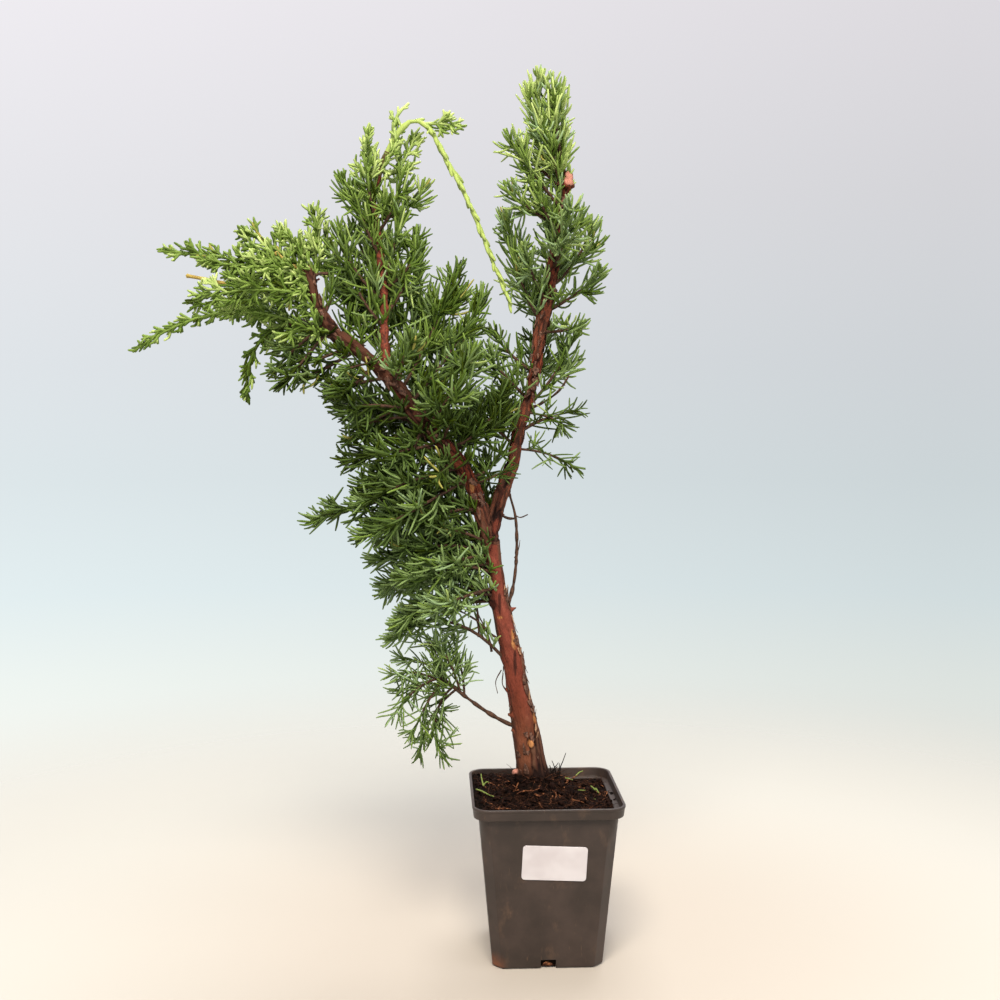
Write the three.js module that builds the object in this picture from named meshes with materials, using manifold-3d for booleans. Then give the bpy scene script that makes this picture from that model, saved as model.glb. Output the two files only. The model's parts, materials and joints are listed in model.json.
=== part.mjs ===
// A young kishu juniper trained as a bonsai, standing in its square nursery pot.
// Millimetres, +Z up. The origin is the centre of the pot's flat underside, and -Y faces the viewer.
// The trunk forks into a long left limb and an upright right limb, and each mass of foliage is one stem
// whose twigs and needles branch from it by a seeded rule.

import * as THREE from 'three';
import { mergeVertices } from 'three/addons/utils/BufferGeometryUtils.js';
import Module from 'manifold-3d';

const wasm = await Module();
wasm.setup();

// Driving dimensions: the pot

const POT = {
  rimWidth: 90,
  shoulderWidth: 82,
  footWidth: 65.5,
  height: 100,
  rimHeight: 7,
  lip: 1.6,
  wall: 1.2,
  floor: 1.6,
  rimDraft: 0.9,
  bead: { height: 1.4, out: 0.4, slope: 0.6 },
  rimCorner: 10,
  shoulderCorner: 6,
  footCorner: 5.6,
  footBevel: 1.2,
  roundingAt: 0.8,
  notchWidth: 9,
  notchHeight: 5.5,
  notchDepth: 8,
};
const CORNER_POINTS = 4;

// Driving dimensions: the soil, which is heaped up to the foot of the trunk

const SOIL = { edge: 90.5, ground: 99.7, moundRadius: 25, rings: 6, gap: 0.5 };
const GROUND = { x: -6, y: 5, z: 100 };

// Driving dimensions: the blank label on the pot's front

const LABEL = { width: 38, height: 21, thickness: 0.4, corner: 2, x: 3, z: 66, turn: -2.7 };

// Driving dimensions: the limbs. A path is where the limb's middle runs, and girth its radii at even steps.

const GAP = 0.3;
const LIMBS = {
  trunk: {
    path: [[-5, 5, 92], [-6, 5, 100], [-8, 5, 117], [-11, 4, 139], [-15, 2, 160], [-19, 1, 182],
      [-24, 0, 204], [-28, -1, 226], [-33, -2, 254]],
    girth: [10, 9.6, 8.5, 7.6, 7.1, 6.6, 6.1, 5.6, 5.2, 5.0, 5.6],
    sides: 14,
    rings: 15,
    flare: { reach: 0.2, spread: 0.5, lobes: 5, turn: 0.5 },
  },
  right_limb: {
    path: [[-33, -2, 250], [-29, -1, 270], [-20, 3, 297], [-15, 5, 320], [-7, 7, 346], [-2, 8, 378],
      [4, 8, 406], [8, 7, 432], [12, 5, 458], [13, 4, 470]],
    girth: [4.6, 4.3, 4.0, 3.2, 3.0, 3.6, 3.9, 2.9, 2.5, 3.0],
    sides: 9,
    rings: 13,
  },
  left_limb: {
    path: [[-34, -2, 248], [-39, -6, 270], [-46, -10, 289], [-58, -14, 307], [-74, -16, 323], [-88, -16, 343],
      [-104, -15, 360], [-123, -14, 374], [-133, -13, 390], [-138, -11, 411]],
    girth: [4.6, 4.2, 4.4, 4.7, 4.2, 3.9, 3.6, 3.6, 3.1, 2.9],
    sides: 9,
    rings: 15,
  },
  left_side_bough: {
    path: [[-122, -13, 373], [-133, -6, 377], [-144, 2, 380], [-156, 9, 383]],
    girth: [3.0, 2.6, 1.6],
    sides: 6,
    rings: 4,
  },
  upright_shoot: {
    path: [[-93, -15, 348], [-95, -11, 372], [-95, -8, 395], [-98, -5, 428], [-101, -4, 453], [-96, -3, 472],
      [-87, -4, 490], [-80, -4, 497]],
    girth: [2.6, 2.3, 2.2, 2.1, 1.9, 1.6, 1.5],
    sides: 6,
    rings: 11,
  },
  drooping_shoot: {
    path: [[-80, -4, 497], [-74, -4, 497], [-67, -5, 491], [-59, -5, 476], [-50, -6, 460], [-40, -6, 438],
      [-33, -6, 419], [-26, -7, 402], [-20, -7, 387]],
    girth: [1.6, 1.5, 1.4, 1.4, 1.2, 0.9],
    sides: 5,
    rings: 11,
    finish: 'limeShoot',
  },
  low_branch: {
    path: [[-12, 4, 134], [-30, 0, 144], [-46, -4, 156], [-63, -8, 171]],
    girth: [1.8, 1.5, 1.1],
    sides: 5,
    rings: 4,
    finish: 'twigBark',
  },
  dead_twig: {
    path: [[-24, 0, 206], [-19, 5, 222], [-17, 7, 236], [-16.5, 7, 252], [-17.5, 7, 266], [-21, 6, 279]],
    girth: [1.5, 1.1, 1.0, 0.8],
    sides: 5,
    rings: 7,
    finish: 'twigBark',
  },
};

// Driving dimensions: the masses of foliage on each limb. A mass grows from a place along the limb, given as
// a share of its length, up to its tip, and its stem's middle bows aside by so many millimetres. Its space is
// a spindle round the stem, as wide as its girth. A bare stem has no twigs up to that share of its length.

const MASSES = {
  right_limb: [
    { name: 'top_plume', at: 0.955, tip: [-3, 3, 527], bow: [-5, 0, 0], girth: 18 },
    { name: 'top_left_plume', at: 0.90, tip: [-27, -8, 491], bow: [1, 0, -2], girth: 15 },
    { name: 'top_low_left', at: 0.86, tip: [-25, -14, 458], bow: [0, 0, -2], girth: 13 },
    { name: 'upper_right', at: 0.70, tip: [32, 6, 443], bow: [3, 0, -3], girth: 18 },
    { name: 'upper_right_low', at: 0.63, tip: [33, -7, 411], bow: [0, 0, -2], girth: 12 },
    { name: 'upper_left', at: 0.60, tip: [-24, 5, 448], bow: [-4, 0, -3], girth: 16 },
    { name: 'upper_front', at: 0.75, tip: [12, -34, 447], bow: [0, -2, -4], girth: 15 },
    { name: 'upper_rear', at: 0.68, tip: [10, 46, 446], bow: [0, 2, -4], girth: 19 },
    { name: 'middle_right', at: 0.37, tip: [22, 4, 377], bow: [1, 0, -4], girth: 16 },
    { name: 'lower_right', at: 0.30, tip: [20, -6, 329], bow: [0, 0, 3], girth: 11 },
    { name: 'lower_right_tip', at: 0.26, tip: [19, -9, 294], bow: [2, -2, 3], girth: 10 },
    { name: 'middle_left', at: 0.47, tip: [-36, 3, 383], bow: [0, 0, -3], girth: 13 },
    { name: 'middle_rear', at: 0.42, tip: [4, 50, 380], bow: [0, 2, -4], girth: 19 },
  ],
  left_limb: [
    { name: 'far_left_upper', at: 0.985, tip: [-224, -4, 424], bow: [0, -1, 3], girth: 14, leaf: 'scale' },
    { name: 'far_left_middle', at: 0.92, tip: [-208, -16, 391], bow: [0, 0, 6], girth: 13, leaf: 'scale' },
    { name: 'left_crest', at: 0.955, tip: [-135, 2, 451], bow: [4, 2, 0], girth: 12 },
    { name: 'left_crest_middle', at: 0.97, tip: [-184, 14, 440], bow: [0, 3, 4], girth: 16, leaf: 'scale' },
    { name: 'left_inner', at: 0.76, tip: [-116, 18, 413], bow: [2, 4, -2], girth: 15 },
    { name: 'left_under', at: 0.82, tip: [-155, -22, 343], bow: [0, -3, -1], girth: 14 },
    { name: 'limb_under', at: 0.66, tip: [-128, -26, 339], bow: [3, -3, -3], girth: 13 },
    { name: 'centre', at: 0.545, tip: [-50, 6, 416], bow: [1, 3, -2], girth: 18, bare: 0.3 },
    { name: 'centre_left', at: 0.56, tip: [-76, 20, 412], bow: [1, 4, -2], girth: 17 },
    { name: 'centre_front', at: 0.42, tip: [-42, -38, 366], bow: [0, -6, -4], girth: 18 },
    { name: 'centre_rear', at: 0.45, tip: [-44, 46, 382], bow: [0, 4, -6], girth: 21 },
    { name: 'centre_right', at: 0.32, tip: [-23, -11, 344], bow: [2, 0, -6], girth: 17 },
    { name: 'left_shoulder', at: 0.48, tip: [-124, -18, 330], bow: [0, -3, 3], girth: 16 },
    { name: 'left_middle', at: 0.33, tip: [-124, -8, 299], bow: [0, -3, 3], girth: 18 },
    { name: 'left_middle_rear', at: 0.36, tip: [-108, 50, 316], bow: [0, 0, 4], girth: 21 },
    { name: 'left_lower', at: 0.19, tip: [-143, -3, 262], bow: [0, -2, 4], girth: 15 },
    { name: 'left_lower_front', at: 0.22, tip: [-112, -26, 254], bow: [0, -8, 0], girth: 15 },
    { name: 'left_lower_rear', at: 0.15, tip: [-88, 42, 262], bow: [0, 2, 4], girth: 20 },
  ],
  left_side_bough: [
    { name: 'far_left_tail', at: 0.55, tip: [-246, 2, 363], bow: [0, 0, 13], girth: 9, leaf: 'scale' },
    { name: 'far_left_lower', at: 0.93, tip: [-177, 9, 334], bow: [-8, 0, 6], girth: 12, leaf: 'scale' },
    { name: 'far_left_rear', at: 0.97, tip: [-203, 48, 396], bow: [0, 0, 4], girth: 17, leaf: 'scale' },
  ],
  upright_shoot: [
    { name: 'upright_left', at: 0.30, tip: [-123, -6, 436], bow: [-3, 0, -4], girth: 16 },
    { name: 'upright_right', at: 0.24, tip: [-66, -7, 440], bow: [4, 0, -4], girth: 18 },
    { name: 'upright_rear', at: 0.26, tip: [-98, 42, 440], bow: [0, 4, -4], girth: 19 },
    { name: 'upright_top_left', at: 0.56, tip: [-124, 0, 468], bow: [-2, 0, -3], girth: 13 },
    { name: 'upright_top', at: 0.68, tip: [-105, 2, 494], bow: [-2, 0, 0], girth: 11, leaf: 'scale' },
    { name: 'upright_top_right', at: 0.60, tip: [-66, 3, 464], bow: [3, 0, -4], girth: 14 },
    { name: 'upright_inner', at: 0.74, tip: [-77, 3, 492], bow: [4, 2, -2], girth: 11, leaf: 'scale' },
    { name: 'upright_tip', at: 0.90, tip: [-85, -3, 507], bow: [-1, 0, 0], girth: 6, leaf: 'scale' },
  ],
  drooping_shoot: [
    { name: 'drooping_spray', at: 0.07, tip: [-49, -5, 497], bow: [0, 0, 1], girth: 9, leaf: 'scale' },
  ],
  trunk: [
    { name: 'lower', at: 0.88, tip: [-98, -3, 224], bow: [0, -2, 4], girth: 17 },
    { name: 'lower_front', at: 0.81, tip: [-72, -30, 211], bow: [0, -4, 3], girth: 14 },
    { name: 'lower_under', at: 0.49, tip: [-95, -8, 191], bow: [0, -4, 22], girth: 12, bare: 0.5 },
  ],
  low_branch: [
    { name: 'hanging_upper', at: 0.93, tip: [-78, 0, 203], bow: [2, 0, 0], girth: 15 },
    { name: 'hanging_middle', at: 0.97, tip: [-93, -12, 146], bow: [0, -1, 6], girth: 12 },
    { name: 'hanging_lower', at: 0.84, tip: [-59, 2, 116], bow: [-9, 2, 4], girth: 14 },
  ],
};

// How a mass branches. A pair is a range: at the stem's foot and tip, or of what chance may give.

const STEM = { base: 1.5, tip: 0.6, sides: 3, rings: 4, stationStep: 4 };
const SPINDLE = { from: 0.13, to: 0.89 };
const TWIG = {
  spacing: 11.5,
  firstAt: 0.14,
  lastAt: 0.86,
  openness: [66, 30],
  reach: [0.75, 1],
  jitter: 0.6,
  lift: 0.12,
  shortest: 8,
  secondTry: 0.7,
};
const SPRAY = { core: 1.9, taper: 0.5, sunk: 0.25, step: 4.6, rings: [3, 6], needle: 0.9, clear: 0.5 };
const LEAVES = { needle: { length: 13, openness: 0.66 }, scale: { length: 6, openness: 0.6 } };
const LEAF_SIZES = { alongTwig: [1.1, 0.65], chance: [0.85, 1.15], tries: [1, 0.7, 0.4] };
const GOLDEN_TURN = THREE.MathUtils.degToRad(137.508);

const COLOURS = {
  plastic: { color: 0x3a3533, roughness: 0.55, metalness: 0 },
  label: { color: 0xf2efee, roughness: 0.5, metalness: 0 },
  soil: { color: 0x241913, roughness: 1, metalness: 0 },
  bark: { color: 0x8a4a34, roughness: 0.85, metalness: 0 },
  twigBark: { color: 0x6b4433, roughness: 0.85, metalness: 0 },
  limeShoot: { color: 0xb7bd45, roughness: 0.6, metalness: 0 },
  needle: { color: 0x4f7a36, roughness: 0.7, metalness: 0 },
  scale: { color: 0x7c9a45, roughness: 0.7, metalness: 0 },
};

// Solids and booleans

/** The closed manifold-3d solid of a geometry, whichever way round its faces were wound. */
function solidOf(geometry) {
  const bare = new THREE.BufferGeometry();
  bare.setAttribute('position', geometry.getAttribute('position'));
  if (geometry.index) bare.setIndex(geometry.index);
  const merged = mergeVertices(bare, 1e-4);
  const triVerts = new Uint32Array(merged.index.array);
  const vertProperties = new Float32Array(merged.getAttribute('position').array);
  const made = new wasm.Manifold(new wasm.Mesh({ numProp: 3, vertProperties, triVerts }));
  if (made.volume() > 0) return made;
  for (let i = 0; i < triVerts.length; i += 3) {
    [triVerts[i + 1], triVerts[i + 2]] = [triVerts[i + 2], triVerts[i + 1]];
  }
  return new wasm.Manifold(new wasm.Mesh({ numProp: 3, vertProperties, triVerts }));
}

/** The largest body of a solid, so that a loose scrap left by a cut is dropped. */
function largestBody(solid) {
  const bodies = solid.decompose();
  return bodies.reduce((best, body) => (body.volume() > best.volume() ? body : best));
}

function geometryOf(solid) {
  const mesh = solid.getMesh();
  const geometry = new THREE.BufferGeometry();
  const position = new Float32Array(mesh.numVert * 3);
  for (let i = 0; i < mesh.numVert; i += 1) {
    position.set(mesh.vertProperties.subarray(i * mesh.numProp, i * mesh.numProp + 3), i * 3);
  }
  geometry.setAttribute('position', new THREE.BufferAttribute(position, 3));
  geometry.setIndex(new THREE.BufferAttribute(mesh.triVerts, 1));
  geometry.computeVertexNormals();
  return geometry;
}

const plant = new THREE.Group();

function addMesh(name, geometry, finish) {
  const mesh = new THREE.Mesh(geometry, new THREE.MeshStandardMaterial(COLOURS[finish]));
  mesh.name = name;
  plant.add(mesh);
}

// Small helpers

const vector = (xyz) => new THREE.Vector3(...xyz);

/** A repeatable number in a range for a seed and a counter. */
function chance(seed, counter, range = [0, 1]) {
  const raw = Math.sin(seed * 12.9898 + counter * 78.233) * 43758.5453;
  return THREE.MathUtils.lerp(...range, raw - Math.floor(raw));
}

/** The value at a share of the way along evenly spread stations. */
function alongStations(stations, share) {
  const place = THREE.MathUtils.clamp(share, 0, 1) * (stations.length - 1);
  const low = Math.min(Math.floor(place), stations.length - 2);
  return THREE.MathUtils.lerp(stations[low], stations[low + 1], place - low);
}

// The pot: a lathed shell whose rings are pulled out to squares

/** A point of a square ring, counter-clockwise, with corners cut straight (round 0) or rounded (round 1). */
function squarePoint(index, half, corner, round) {
  const quarter = Math.floor(index / CORNER_POINTS) % 4;
  const share = (index % CORNER_POINTS) / (CORNER_POINTS - 1);
  const cut = Math.min(corner, half);
  const angle = (share * Math.PI) / 2;
  const arc = [half - cut + cut * Math.cos(angle), half - cut + cut * Math.sin(angle)];
  const chord = [half - cut * share, half - cut * (1 - share)];
  const x = THREE.MathUtils.lerp(chord[0], arc[0], round);
  const y = THREE.MathUtils.lerp(chord[1], arc[1], round);
  return new THREE.Vector2(x, y).rotateAround(new THREE.Vector2(), (quarter * Math.PI) / 2);
}

/** Lathes a profile of square rings, each with its half width, height, corner size and corner roundness. */
function squareLathe(profile, shiftOf = () => [0, 0, 0]) {
  const points = profile.map((ring) => new THREE.Vector2(ring.half, ring.z));
  const count = CORNER_POINTS * 4;
  const geometry = new THREE.LatheGeometry(points, count);
  const position = geometry.getAttribute('position');
  for (let i = 0; i <= count; i += 1) {
    profile.forEach((ring, j) => {
      const { x, y } = squarePoint(i % count, ring.half, ring.corner, ring.round);
      const shift = shiftOf(ring, x, y);
      position.setXYZ(i * profile.length + j, x + shift[0], y + shift[1], ring.z + shift[2]);
    });
  }
  return geometry;
}

/** Half the width of the pot's outside at a height below its rim. */
function bodyHalf(z) {
  const shoulderZ = POT.height - POT.rimHeight;
  return THREE.MathUtils.lerp(POT.footWidth, POT.shoulderWidth, z / shoulderZ) / 2;
}

function bodyCorner(z) {
  return THREE.MathUtils.lerp(POT.footCorner, POT.shoulderCorner, z / (POT.height - POT.rimHeight));
}

function potSolid() {
  const shoulder = POT.height - POT.rimHeight;
  const rim = POT.rimWidth / 2;
  const body = (z, inset, round) => {
    return { half: bodyHalf(z) - inset, z, corner: bodyCorner(z) - inset / 2, round };
  };
  const band = (z, half) => ({ half, z, corner: POT.rimCorner, round: 1 });
  const centre = (z) => ({ half: 0, z, corner: 0, round: 0 });
  const beadFoot = POT.height - POT.bead.height;
  const shell = solidOf(squareLathe([
    centre(0),
    body(0, POT.footBevel, 0),
    body(POT.footBevel, 0, 0),
    body(shoulder * POT.roundingAt, 0, 0),
    body(shoulder, 0, 1),
    band(shoulder, rim - POT.rimDraft),
    band(beadFoot - POT.bead.slope, rim - POT.bead.out),
    band(beadFoot, rim),
    band(POT.height, rim),
    band(POT.height, rim - POT.lip),
    band(shoulder + POT.wall, rim - POT.lip - POT.bead.out),
    { ...body(shoulder, POT.wall, 1), z: shoulder + POT.wall },
    body(shoulder * POT.roundingAt, POT.wall, 0),
    body(POT.floor, POT.wall, 0),
    centre(POT.floor),
  ]));
  const notch = new THREE.BoxGeometry(POT.notchWidth, POT.notchDepth, POT.notchHeight * 2);
  const cutters = [0, 1, 2, 3].map((side) => {
    const cutter = notch.clone().translate(0, -POT.footWidth / 2, 0);
    return solidOf(cutter.rotateZ((side * Math.PI) / 2));
  });
  return cutters.reduce((shellSoFar, cutter) => shellSoFar.subtract(cutter), shell);
}

// The soil: it fills the pot, and its top rises in a mound round the foot of the trunk

/** How high the soil stands at a place. */
function soilHeight(x, y) {
  const away = Math.hypot(x - GROUND.x, y - GROUND.y);
  const share = THREE.MathUtils.smoothstep(SOIL.moundRadius + 12 - away, 0, SOIL.moundRadius);
  return THREE.MathUtils.lerp(SOIL.edge, SOIL.ground, share);
}

function soilSolid() {
  const inside = (z) => ({
    half: bodyHalf(z) - POT.wall - SOIL.gap,
    z,
    corner: bodyCorner(z) - POT.wall / 2,
    round: 0,
  });
  const top = [...Array(SOIL.rings).keys()].map((ring) => {
    const share = 1 - ring / SOIL.rings;
    const rim = inside(SOIL.edge);
    return { ...rim, half: rim.half * share, corner: rim.corner * share, top: true };
  });
  const bed = POT.floor + SOIL.gap;
  const profile = [{ ...inside(bed), half: 0, corner: 0 }, inside(bed), inside(SOIL.edge * 0.8), ...top,
    { half: 0, z: SOIL.edge, corner: 0, round: 0, top: true }];
  return solidOf(squareLathe(profile, (ring, x, y) => [0, 0, ring.top ? soilHeight(x, y) - SOIL.edge : 0]));
}

// The blank label, which leans with the pot's front

function labelGeometry() {
  const [w, h, r] = [LABEL.width / 2, LABEL.height / 2, LABEL.corner];
  const outline = new THREE.Shape();
  outline.moveTo(r - w, -h).lineTo(w - r, -h).absarc(w - r, r - h, r, -Math.PI / 2, 0);
  outline.lineTo(w, h - r).absarc(w - r, h - r, r, 0, Math.PI / 2);
  outline.lineTo(r - w, h).absarc(r - w, h - r, r, Math.PI / 2, Math.PI);
  outline.lineTo(-w, r - h).absarc(r - w, r - h, r, Math.PI, Math.PI * 1.5);
  const settings = { depth: LABEL.thickness, bevelEnabled: false, curveSegments: 3 };
  const geometry = new THREE.ExtrudeGeometry(outline, settings);
  const lean = Math.atan2((POT.shoulderWidth - POT.footWidth) / 2, POT.height - POT.rimHeight);
  geometry.translate(0, 0, GAP).rotateZ(THREE.MathUtils.degToRad(LABEL.turn));
  return geometry.rotateX(Math.PI / 2 + lean).translate(LABEL.x, -bodyHalf(LABEL.z), LABEL.z);
}

// Limbs: cylinders bent along a curve

/** A curve's middle line and directions at evenly spread rings. */
function ringsAlong(curve, rings) {
  return { middles: curve.getSpacedPoints(rings), ...curve.computeFrenetFrames(rings, false) };
}

/** The place out from a curve's middle at a ring, on the side that an angle gives, and forward along it. */
function placeAt(along, ring, angle, out, forward = 0) {
  return along.middles[ring].clone()
    .addScaledVector(along.normals[ring], out * Math.sin(angle))
    .addScaledVector(along.binormals[ring], -out * Math.cos(angle))
    .addScaledVector(along.tangents[ring], forward);
}

/** Bends a cylinder or cone of height 1 along a curve, its vertices placed by their ring and angle. */
function bend(geometry, along, placeOf) {
  const rings = along.middles.length - 1;
  const position = geometry.getAttribute('position');
  const vertex = new THREE.Vector3();
  for (let i = 0; i < position.count; i += 1) {
    vertex.fromBufferAttribute(position, i);
    const ring = Math.round((vertex.y + 0.5) * rings);
    const isMiddle = Math.hypot(vertex.x, vertex.z) < 1e-6;
    const place = isMiddle ? along.middles[ring] : placeOf(ring, Math.atan2(vertex.x, vertex.z));
    position.setXYZ(i, place.x, place.y, place.z);
  }
  return geometry;
}

function bentCylinder(curve, radiusAt, sides, rings) {
  const along = ringsAlong(curve, rings);
  const geometry = new THREE.CylinderGeometry(1, 1, 1, sides, rings);
  return bend(geometry, along, (ring, angle) => placeAt(along, ring, angle, radiusAt(ring / rings, angle)));
}

/** The trunk's foot swells into the heads of its roots, where the other limbs are plain. */
function flareAt(limb, share, angle) {
  if (!limb.flare || share > limb.flare.reach) return 1;
  const near = (1 - share / limb.flare.reach) ** 2;
  const ridge = 0.5 + 0.5 * Math.cos(limb.flare.lobes * (angle - limb.flare.turn));
  return 1 + limb.flare.spread * near * ridge;
}

/** A limb's solid, or with a margin the room it needs, a little larger on every side. */
function limbSolid(limb, margin = 0) {
  const radiusAt = (share, angle) => alongStations(limb.girth, share) * flareAt(limb, share, angle) + margin;
  const solid = solidOf(bentCylinder(limb.curve, radiusAt, limb.sides, limb.rings));
  if (!margin) return solid;
  const pastTip = limb.curve.getTangentAt(1).multiplyScalar(margin);
  return solid.add(solid.translate(pastTip.toArray()));
}

const limbs = Object.entries(LIMBS).map(([name, limb]) => {
  const curve = new THREE.CatmullRomCurve3(limb.path.map(vector), false, 'centripetal');
  return { name, ...limb, curve };
});

/** Each limb is cut clear of those it grows from, and the trunk's foot level with the ground. */
limbs.forEach((limb, index) => {
  limb.room = limbSolid(limb, GAP);
  const uncut = limbSolid(limb).trimByPlane([0, 0, 1], GROUND.z);
  limb.solid = largestBody(limbs.slice(0, index).reduce((left, other) => left.subtract(other.room), uncut));
});
const limbNamed = (name) => limbs.find((limb) => limb.name === name);

// Foliage: what room is taken, and whose it is

/** A straight piece of a limb, twig or needle, for distances. */
function straightPiece(start, end, radius, owner) {
  const middle = start.clone().lerp(end, 0.5);
  return { start, end, radius, owner, middle, reach: start.distanceTo(end) / 2 + radius };
}

/** The least distance between two straight pieces' middle lines. */
function distanceBetween(a, b) {
  const along = a.end.clone().sub(a.start);
  const across = b.end.clone().sub(b.start);
  const between = a.start.clone().sub(b.start);
  const [aa, bb, ab] = [along.dot(along), across.dot(across), along.dot(across)];
  const [ac, bc] = [along.dot(between), across.dot(between)];
  const spread = aa * bb - ab * ab;
  let s = spread > 1e-9 ? THREE.MathUtils.clamp((ab * bc - ac * bb) / spread, 0, 1) : 0;
  const t = THREE.MathUtils.clamp((ab * s + bc) / bb, 0, 1);
  s = THREE.MathUtils.clamp((ab * t - ac) / aa, 0, 1);
  return a.start.clone().addScaledVector(along, s).distanceTo(b.start.clone().addScaledVector(across, t));
}

/** A limb or stem as short straight pieces. */
function straightPieces(curve, radiusAt, count, owner) {
  const points = curve.getSpacedPoints(count);
  return points.slice(1).map((end, i) => straightPiece(points[i], end, radiusAt((i + 0.5) / count), owner));
}

const woodPieces = limbs.flatMap((limb) => straightPieces(
  limb.curve,
  (share) => alongStations(limb.girth, share) * flareAt(limb, share, limb.flare?.turn ?? 0),
  limb.rings,
  limb.name,
));
const foliagePieces = [];

/** Whether a piece keeps clear of the wood and of every other mass. */
function isClear(piece) {
  return [...woodPieces, ...foliagePieces].every((other) => {
    if (other.owner === piece.owner) return true;
    const room = piece.radius + other.radius + SPRAY.clear;
    const far = piece.middle.distanceTo(other.middle) > piece.reach + other.reach + SPRAY.clear;
    return far || distanceBetween(piece, other) > room;
  });
}

/** The radius of a mass's space at a share of its stem: widest past the middle, blunt at the tip. */
function spindle(mass, share) {
  return mass.girth * Math.sqrt(Math.sin(Math.PI * THREE.MathUtils.lerp(SPINDLE.from, SPINDLE.to, share)));
}

/** How far out of a mass's own space a point is: 0 on its stem, 1 on the outside of its spindle. */
function outness(mass, point) {
  const last = mass.stations.length - 1;
  return Math.min(...mass.stations.map((station, i) => station.distanceTo(point) / spindle(mass, i / last)));
}

/** Whether a point is in a mass's own space and not deeper in another's. */
function isOwn(mass, point) {
  const own = outness(mass, point);
  return masses.every((other) => other === mass || outness(other, point) > Math.min(own, 1));
}

// Foliage: how a mass branches

/** The direction that leaves a line at an angle, on the side given by a turn round it. */
function leaning(direction, turn, openness) {
  const aside = new THREE.Vector3(0, 0, 1).cross(direction);
  if (aside.lengthSq() < 1e-6) aside.set(1, 0, 0);
  aside.normalize().applyAxisAngle(direction, turn);
  return direction.clone().multiplyScalar(Math.cos(openness)).addScaledVector(aside, Math.sin(openness));
}

function growStem(mass) {
  const start = limbNamed(mass.on).curve.getPointAt(mass.at);
  const tip = vector(mass.tip);
  const middle = start.clone().lerp(tip, 0.5).addScaledVector(vector(mass.bow), 2);
  mass.curve = new THREE.QuadraticBezierCurve3(start, middle, tip);
  mass.length = mass.curve.getLength();
  mass.stations = mass.curve.getSpacedPoints(Math.ceil(mass.length / STEM.stationStep));
  const radiusAt = (share) => THREE.MathUtils.lerp(STEM.base, STEM.tip, share);
  foliagePieces.push(...straightPieces(mass.curve, radiusAt, STEM.rings, mass.name));
  return solidOf(bentCylinder(mass.curve, radiusAt, STEM.sides, STEM.rings));
}

/** One twig: a short curve from the stem out to the outside of the mass, turning a little up. */
function twigOf(mass, seed, index, count) {
  const first = mass.bare ?? TWIG.firstAt;
  const share = THREE.MathUtils.lerp(first, TWIG.lastAt, (index + TWIG.jitter * chance(seed, index)) / count);
  const openness = THREE.MathUtils.degToRad(THREE.MathUtils.lerp(...TWIG.openness, share));
  const turn = index * GOLDEN_TURN + chance(seed, index + 100);
  const direction = leaning(mass.curve.getTangentAt(share), turn, openness);
  const aside = (spindle(mass, share) * chance(seed, index + 200, TWIG.reach)) / Math.sin(openness);
  const onward = (mass.length * (1 - share) - TWIG.shortest) / Math.cos(openness);
  const length = Math.max(Math.min(aside, onward), TWIG.shortest);
  return { start: mass.curve.getPointAt(share), direction, length };
}

/** The curve of a twig at a share of its full length. */
function twigCurve(twig, shareOfLength) {
  const length = twig.length * shareOfLength;
  const middle = twig.start.clone().addScaledVector(twig.direction, length / 2);
  const end = middle.clone().addScaledVector(twig.direction, length / 2);
  end.z += TWIG.lift * length;
  return new THREE.QuadraticBezierCurve3(twig.start, middle, end);
}

/** The angle of the needle at a ring: each ring has one, a third of a turn back from the last one's. */
function needleAngle(ring) {
  return ((-ring % 3) * Math.PI * 2) / 3;
}

/** How thick a spray's core is at a ring. */
function coreAt(along, ring) {
  return SPRAY.core * (1 - (SPRAY.taper * ring) / (along.middles.length - 1));
}

/** Where a needle of a length on a ring has its tip. */
function needleTip(along, ring, leaf, length) {
  const out = coreAt(along, ring) + length * Math.sin(leaf.openness);
  return placeAt(along, ring, needleAngle(ring), out, length * Math.cos(leaf.openness));
}

/** Plans a spray along a curve, its needles as long as their neighbours allow, or null if it has no room. */
function planSpray(mass, curve, seed) {
  const leaf = LEAVES[mass.leaf ?? 'needle'];
  const end = curve.getPointAt(1);
  const core = straightPiece(curve.getPointAt(SPRAY.sunk), end, SPRAY.core, mass.name);
  if (!isOwn(mass, end) || !isClear(core)) return null;
  const rings = Math.round(THREE.MathUtils.clamp(curve.getLength() / SPRAY.step, ...SPRAY.rings));
  const along = ringsAlong(curve, rings);
  const needleOf = (ring, length) => {
    const tip = needleTip(along, ring, leaf, length);
    return straightPiece(along.middles[ring], tip, SPRAY.needle, mass.name);
  };
  const needles = along.middles.slice(1, -1).map((middle, i) => {
    const shrink = THREE.MathUtils.lerp(...LEAF_SIZES.alongTwig, i / rings);
    const wanted = leaf.length * shrink * chance(seed, i + 50, LEAF_SIZES.chance);
    const needle = LEAF_SIZES.tries.map((share) => needleOf(i + 1, wanted * share)).find(isClear);
    return needle ?? needleOf(i + 1, 0);
  });
  foliagePieces.push(core, ...needles);
  return { along, tips: needles.map((needle) => needle.end) };
}

/** A spray: a slim three-sided cone with one vertex of each ring drawn out into a needle. */
function spraySolid({ along, tips }) {
  const cone = new THREE.ConeGeometry(1, 1, 3, along.middles.length - 1);
  return solidOf(bend(cone, along, (ring, angle) => {
    const isNeedle = Math.cos(angle - needleAngle(ring)) > 0.9;
    if (ring > 0 && isNeedle) return tips[ring - 1];
    return placeAt(along, ring, angle, coreAt(along, ring));
  }));
}

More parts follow.
